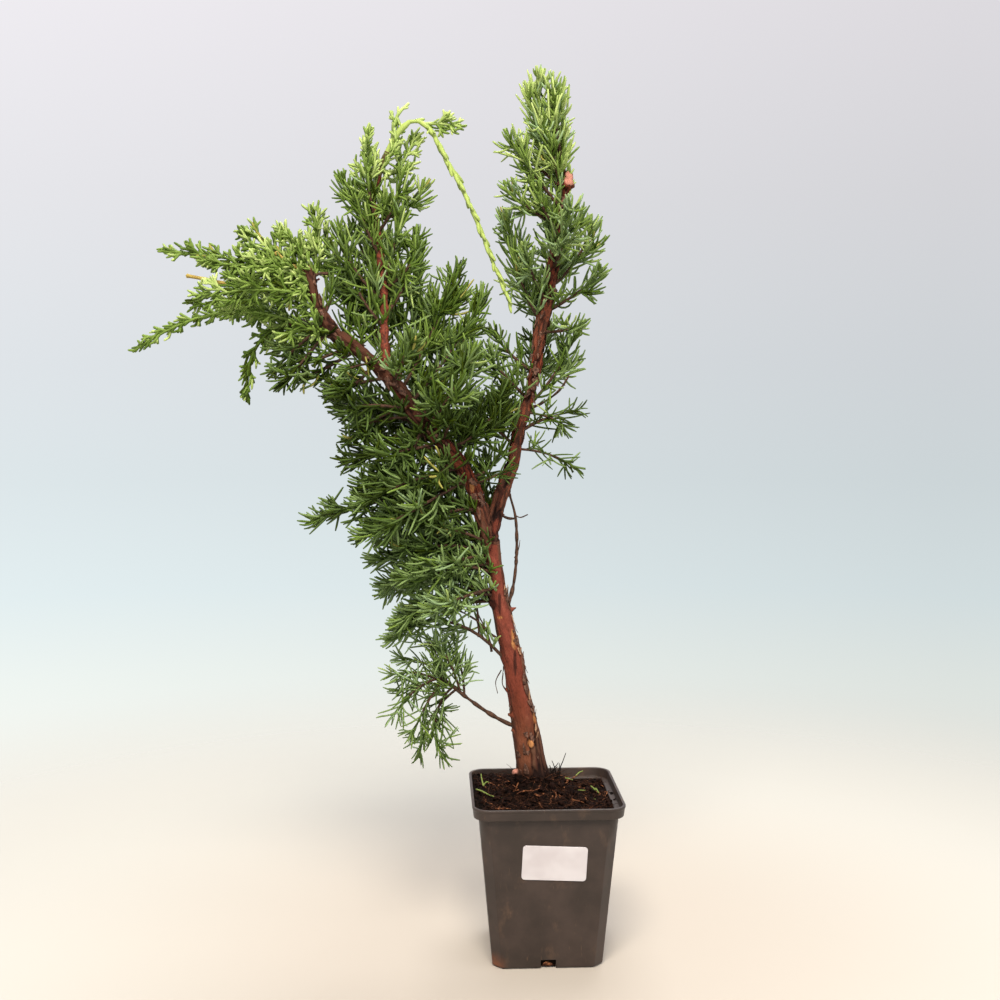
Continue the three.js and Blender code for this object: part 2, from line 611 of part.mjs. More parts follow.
function growMass(mass, stem, seed) {
  const count = Math.round((mass.length * (TWIG.lastAt - (mass.bare ?? TWIG.firstAt))) / TWIG.spacing);
  const twigs = [...Array(count).keys()].map((index) => twigOf(mass, seed, index, count));
  const last = mass.curve.getPointAt(TWIG.lastAt);
  const onwards = vector(mass.tip).sub(last);
  twigs.unshift({ start: last, direction: onwards.clone().normalize(), length: onwards.length() });
  const sprays = twigs.map((twig, index) => {
    const whole = planSpray(mass, twigCurve(twig, 1), seed + index * 7);
    return whole ?? planSpray(mass, twigCurve(twig, TWIG.secondTry), seed + index * 7);
  });
  const fused = wasm.Manifold.union([stem, ...sprays.filter((plan) => plan).map(spraySolid)]);
  return largestBody(fused.subtract(limbNamed(mass.on).room));
}

const masses = Object.entries(MASSES).flatMap(([on, rows]) => rows.map((row) => ({ ...row, on })));
const stems = masses.map(growStem);

// The whole plant, from the pot up

addMesh('pot', geometryOf(potSolid()), 'plastic');
addMesh('pot_label', labelGeometry(), 'label');
addMesh('soil', geometryOf(soilSolid()), 'soil');
limbs.forEach((limb) => addMesh(limb.name, geometryOf(limb.solid), limb.finish ?? 'bark'));
masses.forEach((mass, index) => {
  const solid = growMass(mass, stems[index], index + 1);
  addMesh(`foliage_${mass.name}`, geometryOf(solid), mass.leaf ?? 'needle');
});

export default plant;
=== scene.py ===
"""A young kishu juniper in its square nursery pot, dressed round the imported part.

Sizes are in millimetres in the part's own frame, and each mesh is written in metres. The origin is the centre
of the pot's flat underside, +Z is up and -Y faces the viewer.
"""

import itertools
import json
import logging
import math
from collections.abc import Iterator, Sequence
from dataclasses import dataclass
from enum import Enum

import bpy
import numpy as np
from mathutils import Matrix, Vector
from mathutils.kdtree import KDTree

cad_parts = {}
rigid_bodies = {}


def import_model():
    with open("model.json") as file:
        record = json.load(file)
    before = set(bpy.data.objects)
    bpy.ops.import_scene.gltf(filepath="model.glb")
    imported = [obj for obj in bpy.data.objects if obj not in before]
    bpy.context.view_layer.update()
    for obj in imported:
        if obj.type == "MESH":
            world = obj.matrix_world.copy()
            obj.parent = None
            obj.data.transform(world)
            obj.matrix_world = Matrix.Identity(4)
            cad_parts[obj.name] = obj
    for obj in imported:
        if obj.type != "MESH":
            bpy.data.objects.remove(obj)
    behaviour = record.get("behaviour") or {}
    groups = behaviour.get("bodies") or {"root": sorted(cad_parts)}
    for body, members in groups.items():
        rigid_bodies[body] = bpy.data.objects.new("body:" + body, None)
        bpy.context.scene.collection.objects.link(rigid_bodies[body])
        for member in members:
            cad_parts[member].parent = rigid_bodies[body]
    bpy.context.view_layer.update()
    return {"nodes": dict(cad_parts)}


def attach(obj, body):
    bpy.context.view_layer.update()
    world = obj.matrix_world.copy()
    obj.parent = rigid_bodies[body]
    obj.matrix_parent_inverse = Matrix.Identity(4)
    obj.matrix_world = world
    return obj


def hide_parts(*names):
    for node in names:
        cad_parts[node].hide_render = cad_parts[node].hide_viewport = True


Array = np.ndarray
Point = tuple[float, float, float]
Pair = tuple[float, float]
Material = bpy.types.Material
Thing = bpy.types.Object
Socket = bpy.types.NodeSocket

METRE = 0.001
TURN = 2 * math.pi
GOLDEN_TURN = math.radians(137.508)
UP = np.array([0.0, 0.0, 1.0])
BODY = "root"
LOG = logging.getLogger("juniper")


# Small maths


def chance(seed: Array | float, counter: Array | float, low: float = 0.0, high: float = 1.0) -> Array:
    """Repeatable numbers from low to high, one for each seed and counter."""
    raw = np.sin(np.asarray(seed, float) * 12.9898 + np.asarray(counter, float) * 78.233) * 43758.5453
    return low + (high - low) * (raw - np.floor(raw))


def unit(vectors: Array) -> Array:
    """Vectors brought to length one."""
    return vectors / np.maximum(np.linalg.norm(vectors, axis=-1, keepdims=True), 1e-9)


def mix(start: Array | float, end: Array | float, share: Array | float) -> Array:
    """The value at a share of the way from start to end."""
    return start + (end - start) * share


def ease(low: float, high: float, values: Array) -> Array:
    """A smooth step: 0 below low, 1 above high."""
    share = np.clip((values - low) / (high - low), 0.0, 1.0)
    return share * share * (3 - 2 * share)


def ripple(points: Array, seed: int) -> Array:
    """Smooth repeatable noise between -1 and 1, with bumps about one unit across.

    Args:
        points: places, one to a row.
        seed: which noise.

    Returns:
        The noise at each place.
    """
    cell = np.floor(points)
    part = points - cell
    part = part * part * (3 - 2 * part)
    total = np.zeros(len(points))
    for corner in itertools.product((0, 1), repeat=3):
        lattice = cell + corner
        value = chance(lattice @ np.array([1.0, 57.0, 113.0]), seed)
        weight = np.where(np.array(corner) == 1, part, 1 - part).prod(axis=1)
        total += value * weight
    return total * 2 - 1


def even(count: int) -> Array:
    """Shares from 0 to 1 in even steps."""
    return np.linspace(0, 1, count)


def bezier(control: Array, share: Array) -> Array:
    """Places along quadratic curves.

    Args:
        control: start, middle and end of each curve, as (curves, 3, 3).
        share: one share for each curve, or one row of shares for each.

    Returns:
        One place for each share.
    """
    start, middle, end = (control[:, i] for i in range(3))
    if share.ndim == 2:
        start, middle, end = start[:, None], middle[:, None], end[:, None]
    t = share[..., None]
    return (1 - t) ** 2 * start + 2 * t * (1 - t) * middle + t * t * end


def swept(control: Array, rings: int) -> Array:
    """Even places along each of many quadratic curves."""
    return bezier(control, np.repeat(even(rings)[None], len(control), axis=0))


def bezier_ahead(control: Array, share: Array) -> Array:
    """The directions of quadratic curves, one share for each curve."""
    t = share[:, None]
    return unit((1 - t) * (control[:, 1] - control[:, 0]) + t * (control[:, 2] - control[:, 1]))


def bent(start: Array, first: Array, second: Array, length: Array, part: float = 0.5) -> Array:
    """Quadratic curves of a length that set out in a first direction for a part of it and end in a second."""
    middle = start + first * (length * part)[:, None]
    return np.stack((start, middle, middle + second * (length * (1 - part))[:, None]), axis=1)


def leaning(ahead: Array, turn: Array, openness: Array) -> Array:
    """The directions that leave lines at an angle.

    Args:
        ahead: the direction of each line.
        turn: how far round its line each direction is, in radians.
        openness: the angle between the line and the direction.

    Returns:
        One direction for each line.
    """
    level = np.cross(UP, ahead)
    level[np.linalg.norm(level, axis=1) < 1e-3] = [1.0, 0.0, 0.0]
    level = unit(level)
    aside = level * np.cos(turn)[:, None] + np.cross(ahead, level) * np.sin(turn)[:, None]
    return ahead * np.cos(openness)[:, None] + aside * np.sin(openness)[:, None]


def spun(points: Array, turn: float) -> Array:
    """Points turned about the Z axis."""
    cos, sin = math.cos(turn), math.sin(turn)
    return points @ np.array([[cos, sin, 0], [-sin, cos, 0], [0, 0, 1]])


class Curve:
    """A smooth line, kept as close points and read by a share of its length."""

    STEPS = 48

    def __init__(self, points: Array) -> None:
        """Measures the line through close points."""
        self.points = points
        steps = np.linalg.norm(np.diff(points, axis=0), axis=1)
        self.length = float(steps.sum())
        self.shares = np.concatenate(([0.0], np.cumsum(steps))) / self.length

    @classmethod
    def through(cls, path: Sequence[Point]) -> "Curve":
        """The smooth curve through the points of a path."""
        spots = np.array(path, float)
        ends = np.vstack((2 * spots[0] - spots[1], spots, 2 * spots[-1] - spots[-2]))
        spans = [cls._span(*ends[i : i + 4]) for i in range(len(spots) - 1)]
        return cls(np.vstack([*spans, spots[-1:]]))

    @classmethod
    def _span(cls, before: Array, start: Array, end: Array, after: Array) -> Array:
        """Close points from one point of a path up to the next.

        Args:
            before: the point before both.
            start: the first of the two.
            end: the second of them.
            after: the point after both.

        Returns:
            The points, without the end itself.
        """
        legs = ((before, start), (start, end), (end, after))
        first, span, last = (float(np.sum((b - a) ** 2)) ** 0.25 for a, b in legs)
        leave = (start - before) / first - (end - before) / (first + span) + (end - start) / span
        arrive = (end - start) / span - (after - start) / (span + last) + (after - end) / last
        leave, arrive = leave * span, arrive * span
        t = np.arange(cls.STEPS)[:, None] / cls.STEPS
        bend = -3 * start + 3 * end - 2 * leave - arrive
        twist = 2 * start - 2 * end + leave + arrive
        return start + leave * t + bend * t**2 + twist * t**3

    def at(self, share: Array | float) -> Array:
        """The place at each share of the length."""
        return np.stack([np.interp(share, self.shares, self.points[:, axis]) for axis in range(3)], -1)

    def ahead(self, share: Array | float) -> Array:
        """The direction at each share of the length."""
        near = 0.004
        return unit(self.at(np.asarray(share) + near) - self.at(np.asarray(share) - near))


def frames_along(paths: Array, up: Array | None = None) -> tuple[Array, Array, Array]:
    """Directions at every ring of many paths, which turn with each path and don't spin about it.

    Args:
        paths: the middles of the rings, as (paths, rings, 3).
        up: a direction for each path that its lift keeps near to.

    Returns:
        The directions ahead, aside and lifted, each in the shape of the paths.
    """
    ahead = unit(np.gradient(paths, axis=1))
    lift = -np.eye(3)[np.abs(ahead[:, 0]).argmin(axis=1)] if up is None else up
    lifts = np.empty_like(ahead)
    for ring in range(paths.shape[1]):
        here = ahead[:, ring]
        lift = unit(lift - (lift * here).sum(1, keepdims=True) * here)
        lifts[:, ring] = lift
    return ahead, np.cross(lifts, ahead), lifts


def skin(rings: int, sides: int, foot: bool) -> tuple[Array, Array]:
    """The faces over rings of points, with a point for the tip after them and one for the foot.

    Args:
        rings: how many rings.
        sides: how many points a ring has.
        foot: whether the foot is closed too.

    Returns:
        The four-sided faces and the three-sided ones, as rows of point numbers.
    """
    ring, side = (grid.ravel() for grid in np.meshgrid(range(rings - 1), range(sides), indexing="ij"))
    after = (side + 1) % sides
    low, high = ring * sides, (ring + 1) * sides
    quads = np.stack((low + side, low + after, high + after, high + side), -1)
    around = np.arange(sides)
    onward = (around + 1) % sides
    last = (rings - 1) * sides
    tip = np.full(sides, rings * sides)
    fans = [np.stack((last + around, last + onward, tip), -1)]
    if foot:
        fans.append(np.stack((onward, around, tip + 1), -1))
    return quads, np.vstack(fans)


class MeshMaker:
    """Gathers points and faces from arrays, and makes one piece of them."""

    # How far a tube's tip stands past its last ring, for the ring's radius
    TIP = 0.7

    def __init__(self) -> None:
        """Starts with nothing gathered."""
        self.points: list[Array] = []
        self.corners: list[Array] = []
        self.sizes: list[Array] = []
        self.finishes: list[Array] = []
        self.count = 0

    def add(self, points: Array, faces: Sequence[Array], finish: int = 0) -> None:
        """Adds one set of points and its faces.

        Args:
            points: the places, one to a row.
            faces: arrays of point numbers, each with one number of corners.
            finish: which of the piece's finishes the faces have.
        """
        for rows in faces:
            if len(rows):
                self.corners.append((rows + self.count).ravel())
                self.sizes.append(np.full(len(rows), rows.shape[1]))
                self.finishes.append(np.full(len(rows), finish))
        self.points.append(points)
        self.count += len(points)

    def add_tubes(
        self, paths: Array, across: Array, sides: int, finish: int = 0,
        deep: Array | None = None, up: Array | None = None, foot: bool = False,
    ) -> None:
        """Adds a closed tube along every path.

        Args:
            paths: the middles of the rings, as (tubes, rings, 3).
            across: half the width at every ring.
            sides: how many sides a tube has.
            finish: which of the piece's finishes the tubes have.
            deep: half the thickness at every ring, if it isn't the same.
            up: the direction that each tube's thickness lies in.
            foot: whether the first ring is closed too.
        """
        if not len(paths):
            return
        count, rings = paths.shape[:2]
        ahead, asides, lifts = frames_along(paths, up)
        angle = np.arange(sides) * TURN / sides
        if deep is None:
            deep = across
        wide = across[:, :, None, None] * np.cos(angle)[:, None] * asides[:, :, None]
        high = deep[:, :, None, None] * np.sin(angle)[:, None] * lifts[:, :, None]
        body = (paths[:, :, None] + wide + high).reshape(count, rings * sides, 3)
        tip = paths[:, -1:] + ahead[:, -1:] * across[:, -1:, None] * self.TIP
        ends = [tip, paths[:, :1]] if foot else [tip]
        points = np.concatenate([body, *ends], axis=1)
        starts = (np.arange(count) * points.shape[1])[:, None, None]
        faces = [(rows + starts).reshape(-1, rows.shape[1]) for rows in skin(rings, sides, foot)]
        self.add(points.reshape(-1, 3), faces, finish)

    def piece(self, name: str, materials: Sequence[Material], smooth: bool = True) -> Thing:
        """Makes the piece.

        Args:
            name: the piece's name.
            materials: its materials, in the order of the finishes.
            smooth: whether its faces are shaded as one surface.

        Returns:
            The new object, at the origin.
        """
        mesh = bpy.data.meshes.new(name)
        points = np.concatenate(self.points) * METRE
        corners = np.concatenate(self.corners)
        sizes = np.concatenate(self.sizes)
        mesh.vertices.add(len(points))
        mesh.vertices.foreach_set("co", points.astype(np.float32).ravel())
        mesh.loops.add(len(corners))
        mesh.loops.foreach_set("vertex_index", corners.astype(np.int32))
        mesh.polygons.add(len(sizes))
        mesh.polygons.foreach_set("loop_start", (np.cumsum(sizes) - sizes).astype(np.int32))
        mesh.polygons.foreach_set("material_index", np.concatenate(self.finishes).astype(np.int32))
        mesh.polygons.foreach_set("use_smooth", np.full(len(sizes), smooth))
        mesh.update(calc_edges=True)
        for material in materials:
            mesh.materials.append(material)
        thing = bpy.data.objects.new(name, mesh)
        bpy.context.scene.collection.objects.link(thing)
        return thing


BLOCK_FACES = np.array([[3, 2, 1, 0], [4, 5, 6, 7], [0, 1, 5, 4], [1, 2, 6, 5], [2, 3, 7, 6], [3, 0, 4, 7]])


def block(low: Point, high: Point, turn: float = 0.0) -> Thing:
    """A plain block to cut with.

    Args:
        low: its corner with the least of each coordinate.
        high: the corner opposite.
        turn: how far it is turned about the Z axis, in radians.

    Returns:
        The new object.
    """
    outline = ((low[0], low[1]), (high[0], low[1]), (high[0], high[1]), (low[0], high[1]))
    corners = np.array([(x, y, z) for z in (low[2], high[2]) for x, y in outline])
    maker = MeshMaker()
    maker.add(spun(corners, turn), [BLOCK_FACES])
    return maker.piece("block", [])


def present(piece: Thing, slot: str, *nodes: str) -> None:
    """Sets a piece on the part's body, in place of the nodes it stands for, and reports it.

    Args:
        piece: the object.
        slot: the record's material slot; not used.
        nodes: the nodes that it stands for.
    """
    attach(piece, BODY)
    if nodes:
        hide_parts(*nodes)
    triangles = sum(len(face.vertices) - 2 for face in piece.data.polygons)
    LOG.info("%s: %d triangles", piece.name, triangles)


# Finishes


def linear(colour: str) -> tuple[float, float, float, float]:
    """A colour written as six hex digits, as light."""
    values = [int(colour[i : i + 2], 16) / 255 for i in (0, 2, 4)]
    return (*(v / 12.92 if v <= 0.04045 else ((v + 0.055) / 1.055) ** 2.4 for v in values), 1.0)


class Nodes:
    """Lays out the nodes of a material or of the world."""

    def __init__(self, owner: Material | bpy.types.World) -> None:
        """Turns on the owner's nodes."""
        owner.use_nodes = True
        self.nodes = owner.node_tree.nodes
        self.links = owner.node_tree.links

    def node(self, kind: str, feeds: dict[str | int, object], **settings: object) -> bpy.types.Node:
        """Adds one shader node.

        Args:
            kind: the node's type.
            feeds: what goes into its inputs: another node's output, a plain value, or a colour in hex digits.
            settings: the node's own settings.

        Returns:
            The new node.
        """
        made = self.nodes.new("ShaderNode" + kind)
        for key, value in settings.items():
            setattr(made, key, value)
        for key, value in feeds.items():
            self.feed(made.inputs[key], value)
        return made

    def feed(self, socket: Socket, value: object) -> None:
        """Links or sets one input."""
        if isinstance(value, Socket):
            self.links.new(value, socket)
        else:
            socket.default_value = linear(value) if isinstance(value, str) else value

    def coordinate(self, kind: str) -> Socket:
        """A coordinate of one kind."""
        return self.node("TexCoord", {}).outputs[kind]

    def band(self, value: Socket, span: Pair, into: Pair = (0.0, 1.0), kind: str = "SMOOTHSTEP") -> Socket:
        """A value carried from a span into another, as a smooth step unless it is of another kind."""
        feeds = dict(zip(("From Min", "From Max", "To Min", "To Max"), (*span, *into)))
        return self.node("MapRange", {"Value": value, **feeds}, interpolation_type=kind).outputs["Result"]


class Bench(Nodes):
    """Lays out the nodes of one material."""

    def __init__(self, name: str, roughness: float, specular: float) -> None:
        """Starts a material with its plain values set on the shader.

        Args:
            name: its name.
            roughness: how rough it is.
            specular: how strongly it reflects.
        """
        self.material = bpy.data.materials.new(name)
        super().__init__(self.material)
        self.shader = self.nodes["Principled BSDF"]
        self.feed(self.shader.inputs["Roughness"], roughness)
        self.feed(self.shader.inputs["Specular IOR Level"], specular)

    def noise(self, vector: Socket, scale: float, detail: float = 3.0, along: float = 1.0) -> Socket:
        """Cloudy noise at so many bumps a metre, with fewer of them along the third axis."""
        if along != 1.0:
            vector = self.node("Mapping", {"Vector": vector, "Scale": (1.0, 1.0, along)}).outputs["Vector"]
        feeds = {"Vector": vector, "Scale": scale, "Detail": detail, "Roughness": 0.6}
        return self.node("TexNoise", feeds).outputs["Fac"]

    def times(self, first: Socket, second: Socket | float) -> Socket:
        """Two values multiplied."""
        return self.node("Math", {0: first, 1: second}, operation="MULTIPLY").outputs[0]

    def blend(self, share: object, first: object, second: object) -> Socket:
        """One colour turning into another as a share goes from 0 to 1."""
        return self.node("Mix", {"Factor": share, 6: first, 7: second}, data_type="RGBA").outputs[2]

    def over(self, under: object, colour: object, mask: Socket, span: Pair, most: float = 1.0) -> Socket:
        """A colour laid over another as a mask goes through a span, up to a greatest share."""
        share = self.band(mask, span)
        return self.blend(share if most == 1.0 else self.times(share, most), under, colour)

    def attribute(self, name: str, output: str = "Fac") -> Socket:
        """A value kept on the mesh."""
        return self.node("Attribute", {}, attribute_name=name).outputs[output]

    def bump(self, height: Socket, strength: float, depth: float) -> None:
        """Raises the surface by a height, with depth in metres."""
        feeds = {"Height": height, "Strength": strength, "Distance": depth}
        self.feed(self.shader.inputs["Normal"], self.node("Bump", feeds).outputs["Normal"])

    def colour(self, value: object) -> None:
        """Sets the base colour."""
        self.feed(self.shader.inputs["Base Color"], value)


@dataclass(frozen=True)
class LeafFinish:
    """The waxy skin of needles, scale leaves and green shoots, in one plain colour."""

    name: str
    colour: str
    roughness: float = 0.42

    def material(self) -> Material:
        """Makes the material."""
        bench = Bench(self.name, self.roughness, specular=0.08)
        bench.colour(self.colour)
        bench.bump(bench.noise(bench.coordinate("Object"), 1400.0), 0.35, 0.0002)
        return bench.material


@dataclass(frozen=True)
class SpeckledFinish:
    """Dull thin bark with fine specks of a darker colour."""

    name: str
    dark: str
    light: str
    roughness: float = 0.75
    scale: float = 700.0
    detail: float = 4.0
    specular: float = 0.25
    span: Pair = (0.35, 0.65)
    bump: Pair = (0.6, 0.0004)

    def material(self) -> Material:
        """Makes the material."""
        bench = Bench(self.name, self.roughness, self.specular)
        speckle = bench.noise(bench.coordinate("Object"), self.scale, self.detail)
        bench.colour(bench.over(self.dark, self.light, speckle, self.span))
        bench.bump(speckle, *self.bump)
        return bench.material


@dataclass(frozen=True)
class EarthFinish(SpeckledFinish):
    """Moist peat, or a scrap lying on it."""

    roughness: float = 0.85
    scale: float = 420.0
    detail: float = 5.0
    specular: float = 0.05
    span: Pair = (0.38, 0.7)
    bump: Pair = (0.8, 0.0008)


@dataclass(frozen=True)
class BarkFinish:
    """Juniper bark: smooth and red where it has peeled, grey-brown where it flakes, tan where it is fresh."""

    name: str = "peeling_bark"
    smooth: str = "662F20"
    rosy: str = "783C2F"
    brown: str = "45231A"
    flake: str = "5E4030"
    # The crack colour lies on the real cracks and dark spots, and also as painted shade on the trunk's left
    # side and at its foot
    crack_and_shade: str = "1C0E0A"
    fresh: str = "A87448"
    sap: str = "7E4724"
    wood: str = "AE7666"
    foot: str = "6E452F"
    limb: str = "743622"
    limb_dark: str = "260F09"
    # Painted shade for the limbs' bark on the left of the plant, under the crown
    limb_painted_shade: str = "35190F"
    speck: str = "96614A"
    aloft: Pair = (0.245, 0.29)

    def material(self) -> Material:
        """Makes the material."""
        bench = Bench(self.name, 0.8, specular=0.12)
        grain = bench.attribute("grain", "Vector")
        streaks = bench.noise(grain, 420.0, 5.0, along=0.16)
        clouds = bench.noise(grain, 90.0, 3.0, along=0.35)
        mottles = bench.noise(grain, 230.0, 4.0, along=0.5)
        shreds = bench.noise(grain, 760.0, 3.0, along=0.25)
        split = bench.node("SeparateXYZ", {0: bench.coordinate("Object")})
        side, height = split.outputs["X"], split.outputs["Z"]
        low_clouds = bench.times(bench.band(clouds, (0.35, 0.65)), 0.6)
        rosiness = bench.over(low_clouds, bench.band(clouds, (0.2, 0.5)), height, (0.15, 0.22))
        peeled = bench.blend(rosiness, self.smooth, self.rosy)
        peeled = bench.over(peeled, self.brown, streaks, (0.5, 0.72), 0.6)
        peeled = bench.over(peeled, self.brown, mottles, (0.5, 0.7), 0.6)
        peeled = bench.over(peeled, self.speck, mottles, (0.4, 0.25), 0.35)
        peeled = bench.over(peeled, self.foot, height, (0.165, 0.112), 0.75)
        shaggy = bench.over(self.limb_dark, self.limb, shreds, (0.42, 0.56))
        # Painted shade: the limb bark turns darker from 45 to 75 mm left of the middle
        shaggy = bench.over(shaggy, self.limb_painted_shade, side, (-0.045, -0.075), 0.85)
        peeled = bench.over(peeled, shaggy, height, self.aloft, 0.85)
        old = bench.over(self.brown, self.flake, streaks, (0.35, 0.62))
        old = bench.over(old, bench.blend(0.3, shaggy, self.flake), height, self.aloft, 0.85)
        fresh = bench.over(self.sap, self.fresh, shreds, (0.4, 0.55))
        colour = peeled
        # The crack layer is partly painted shade: it darkens the trunk's left side and its foot as well as
        # the cracks
        for name, layer in (("shelf", old), ("crack_and_shade", self.crack_and_shade), ("fresh", fresh), ("cut", self.wood)):
            colour = bench.blend(bench.attribute(name), colour, layer)
        bench.colour(colour)
        bench.bump(bench.times(streaks, shreds), 1.0, 0.0022)
        return bench.material


@dataclass(frozen=True)
class PlasticFinish:
    """Recycled black-brown plastic, a little dusty, with a rusty stain at one foot corner."""

    name: str = "pot_plastic"
    dark: str = "2C231E"
    worn: str = "3B2F29"
    dust: str = "624A38"
    rust: str = "6B3E26"
    stain: Point = (-0.0330, -0.0305, 0.003)

    def material(self) -> Material:
        """Makes the material."""
        bench = Bench(self.name, 0.5, specular=0.4)
        place = bench.coordinate("Object")
        clouds = bench.noise(place, 38.0, 4.0)
        smears = bench.noise(place, 95.0, 6.0, along=0.6)
        scratches = bench.noise(place, 700.0, 2.0, along=0.07)
        colour = bench.over(self.dark, self.worn, clouds, (0.35, 0.7))
        colour = bench.over(colour, self.dust, smears, (0.56, 0.78), 0.45)
        colour = bench.over(colour, self.dust, scratches, (0.68, 0.76), 0.4)
        away = bench.node("VectorMath", {0: place, 1: self.stain}, operation="DISTANCE").outputs["Value"]
        stained = bench.times(bench.band(away, (0.010, 0.002)), bench.band(smears, (0.34, 0.6)))
        bench.colour(bench.blend(stained, colour, self.rust))
        sheen = bench.band(clouds, (0.3, 0.7), (0.37, 0.52), "LINEAR")
        bench.feed(bench.shader.inputs["Roughness"], sheen)
        bench.bump(bench.noise(place, 900.0, 2.0), 0.12, 0.0002)
        return bench.material


@dataclass(frozen=True)
class PaperFinish:
    """A blank white sticker with a faint sheen."""

    name: str = "label_paper"
    colour: str = "C4BFC0"
    shade: str = "B8B1B2"

    def material(self) -> Material:
        """Makes the material."""
        bench = Bench(self.name, 0.42, specular=0.4)
        place = bench.coordinate("Object")
        bench.colour(bench.over(self.colour, self.shade, bench.noise(place, 60.0, 2.0), (0.35, 0.75)))
        bench.bump(bench.noise(place, 420.0, 2.0), 0.06, 0.0002)
        return bench.material


class Green(Enum):
    """The colours of the leaves: those of the upper crown, cooler ones lower down, and a yellowed one."""

    SHADE = "1E2902"
    DEEP = "334008"
    MIDDLE = "4B6022"
    FRESH = "6A803A"
    LIGHT = "92A45E"
    LIME = "B0C077"
    LOW_DEEP = "303E12"
    LOW_MIDDLE = "4C5F2E"
    LOW_FRESH = "6B7F4B"
    LOW_LIGHT = "82996C"
    LOW_PALE = "9DB486"
    YELLOWED = "8E8A45"


# The numbers of the greens that a spray's lightness runs through in the upper and the lower crown, and of
# the yellowed one. The lightness holds painted light and shade as well as the greens' own range, so the dark
# steps also stand for shade inside the crown and the light steps for its lit outside
LADDER = np.array([0, 1, 2, 3, 4, 5])
LOW_LADDER = np.array([0, 6, 7, 8, 9, 10])
YELLOWED = 11


# Limbs


@dataclass(frozen=True)
class Limb:
    """One limb or twig: where its middle runs, and its radii at even steps."""

    path: Sequence[Point]
    girth: Sequence[float]

    @property
    def curve(self) -> Curve:
        """The limb's middle line."""
        return Curve.through(self.path)

    def radius(self, share: Array) -> Array:
        """Its radius at shares of its length."""
        return np.interp(share, even(len(self.girth)), self.girth)

    def rings(self, step: float, low: float = 0.0, high: float = 1.0) -> tuple[Array, Array]:
        """The middles and radii of its rings, a step apart, from one share of its length to another."""
        curve = self.curve
        shares = np.linspace(low, high, int(curve.length * (high - low) / step) + 2)
        return curve.at(shares), self.radius(shares)


LIMBS = {
    "trunk": Limb(
        [(-5.5, 5, 92), (-6.6, 5, 100), (-9, 5, 117), (-12, 4, 139), (-16, 2, 160), (-20, 1, 182),
         (-25, 0, 204), (-29, -1, 226), (-33, -2, 254)],
        [9.4, 8.9, 8.0, 7.3, 6.9, 6.5, 6.1, 5.6, 5.0, 4.8, 5.4],
    ),
    "right_limb": Limb(
        [(-33, -2, 250), (-29, -1, 270), (-20, 3, 297), (-15, 5, 320), (-7, 7, 346), (-2, 8, 378),
         (4, 8, 406), (8, 7, 432), (12, 5, 458), (13, 4, 470)],
        [4.6, 4.3, 4.0, 3.2, 3.0, 3.6, 4.1, 3.2, 2.8, 3.4],
    ),
    "left_limb": Limb(
        [(-34, -2, 248), (-39, -6, 270), (-46, -10, 289), (-58, -14, 307), (-74, -16, 323), (-88, -16, 343),
         (-104, -15, 360), (-123, -14, 374), (-133, -13, 390), (-138, -11, 411)],
        [4.6, 4.2, 4.4, 4.7, 4.2, 3.9, 3.6, 3.6, 3.1, 2.9],
    ),
    "left_side_bough": Limb(
        [(-122, -13, 373), (-133, -6, 377), (-144, 2, 380), (-156, 9, 383)],
        [3.0, 2.6, 1.6],
    ),
    "upright_shoot": Limb(
        [(-93, -15, 348), (-95, -11, 372), (-95, -8, 395), (-98, -5, 428), (-101, -4, 453), (-96, -3, 472),
         (-87, -4, 490), (-80, -4, 497)],
        [2.6, 2.3, 2.2, 2.1, 1.9, 1.6, 1.5],
    ),
    "drooping_shoot": Limb(
        [(-80, -4, 497), (-74, -4, 497), (-67, -5, 491), (-59, -5, 476), (-50, -6, 460), (-40, -6, 438),
         (-33, -6, 420), (-26.5, -7, 404), (-21, -7, 391)],
        [1.6, 1.5, 1.4, 1.4, 1.2, 0.9],
    ),
    "low_branch": Limb(
        [(-12, 4, 134), (-30, 0, 144), (-46, -4, 156), (-63, -8, 171)],
        [1.5, 1.15, 1.0],
    ),
    "dead_twig": Limb(
        [(-24, 0, 206), (-19, 5, 222), (-17, 7, 236), (-16.5, 7, 252), (-17.5, 7, 266), (-21, 6, 279)],
        [1.35, 1.0, 0.95, 0.8],
    ),
}


@dataclass(frozen=True)
class Stub:
    """A short side piece of wood on the trunk or a limb, with a cut or broken end."""

    start: Point
    end: Point
    girth: float
    fresh: bool = False


STUBS = [
    Stub((-136.6, -11.2, 404), (-138.2, -11, 413), 2.5, fresh=True),
    Stub((-136.6, -11.5, 403), (-132.4, -13.4, 405.8), 1.3),
    Stub((12, 4.6, 462), (13.4, 3, 470.5), 2.6),
    Stub((11.6, 6, 459.5), (14.2, 0.6, 464), 2.8, fresh=True),
    Stub((12, 6, 463), (14.4, 1.4, 467.6), 2.6, fresh=True),
    Stub((-26, -1, 210), (-33, -1.5, 214.5), 2.3),
    Stub((-22, 0, 209), (-17.2, -0.6, 211), 1.3),
    Stub((-17, 1, 158), (-23.6, 0.8, 160.6), 1.7),
    Stub((-14.5, 2, 142), (-21.4, 1, 145.4), 1.9),
    Stub((-9, 4, 103), (-18.6, -1.8, 110.6), 2, fresh=True),
    Stub((-13, 3, 150), (-20.2, 1.5, 151.5), 1.2),
    Stub((-12, 3, 134), (-20, 2, 135), 1.3),
    Stub((-17, 1, 172), (-23.6, 0.5, 173.5), 1.2),
    Stub((-31, -3, 262), (-24.6, -4.5, 268), 1.5),
    Stub((-74, -15, 322), (-70, -22.5, 326), 1.8),
]


@dataclass(frozen=True)
class Spot:
    """A patch on the bark: its middle, its half sizes along and across the limb, and its height."""

    place: Point
    tall: float
    wide: float
    height: float = 0.0

    def away(self, points: Array, spread: float = 1.0) -> Array:
        """How far points are from its middle, where 1 is its edge."""
        wide = self.wide * spread
        return np.linalg.norm((points - self.place) / (wide, wide, self.tall), axis=1)


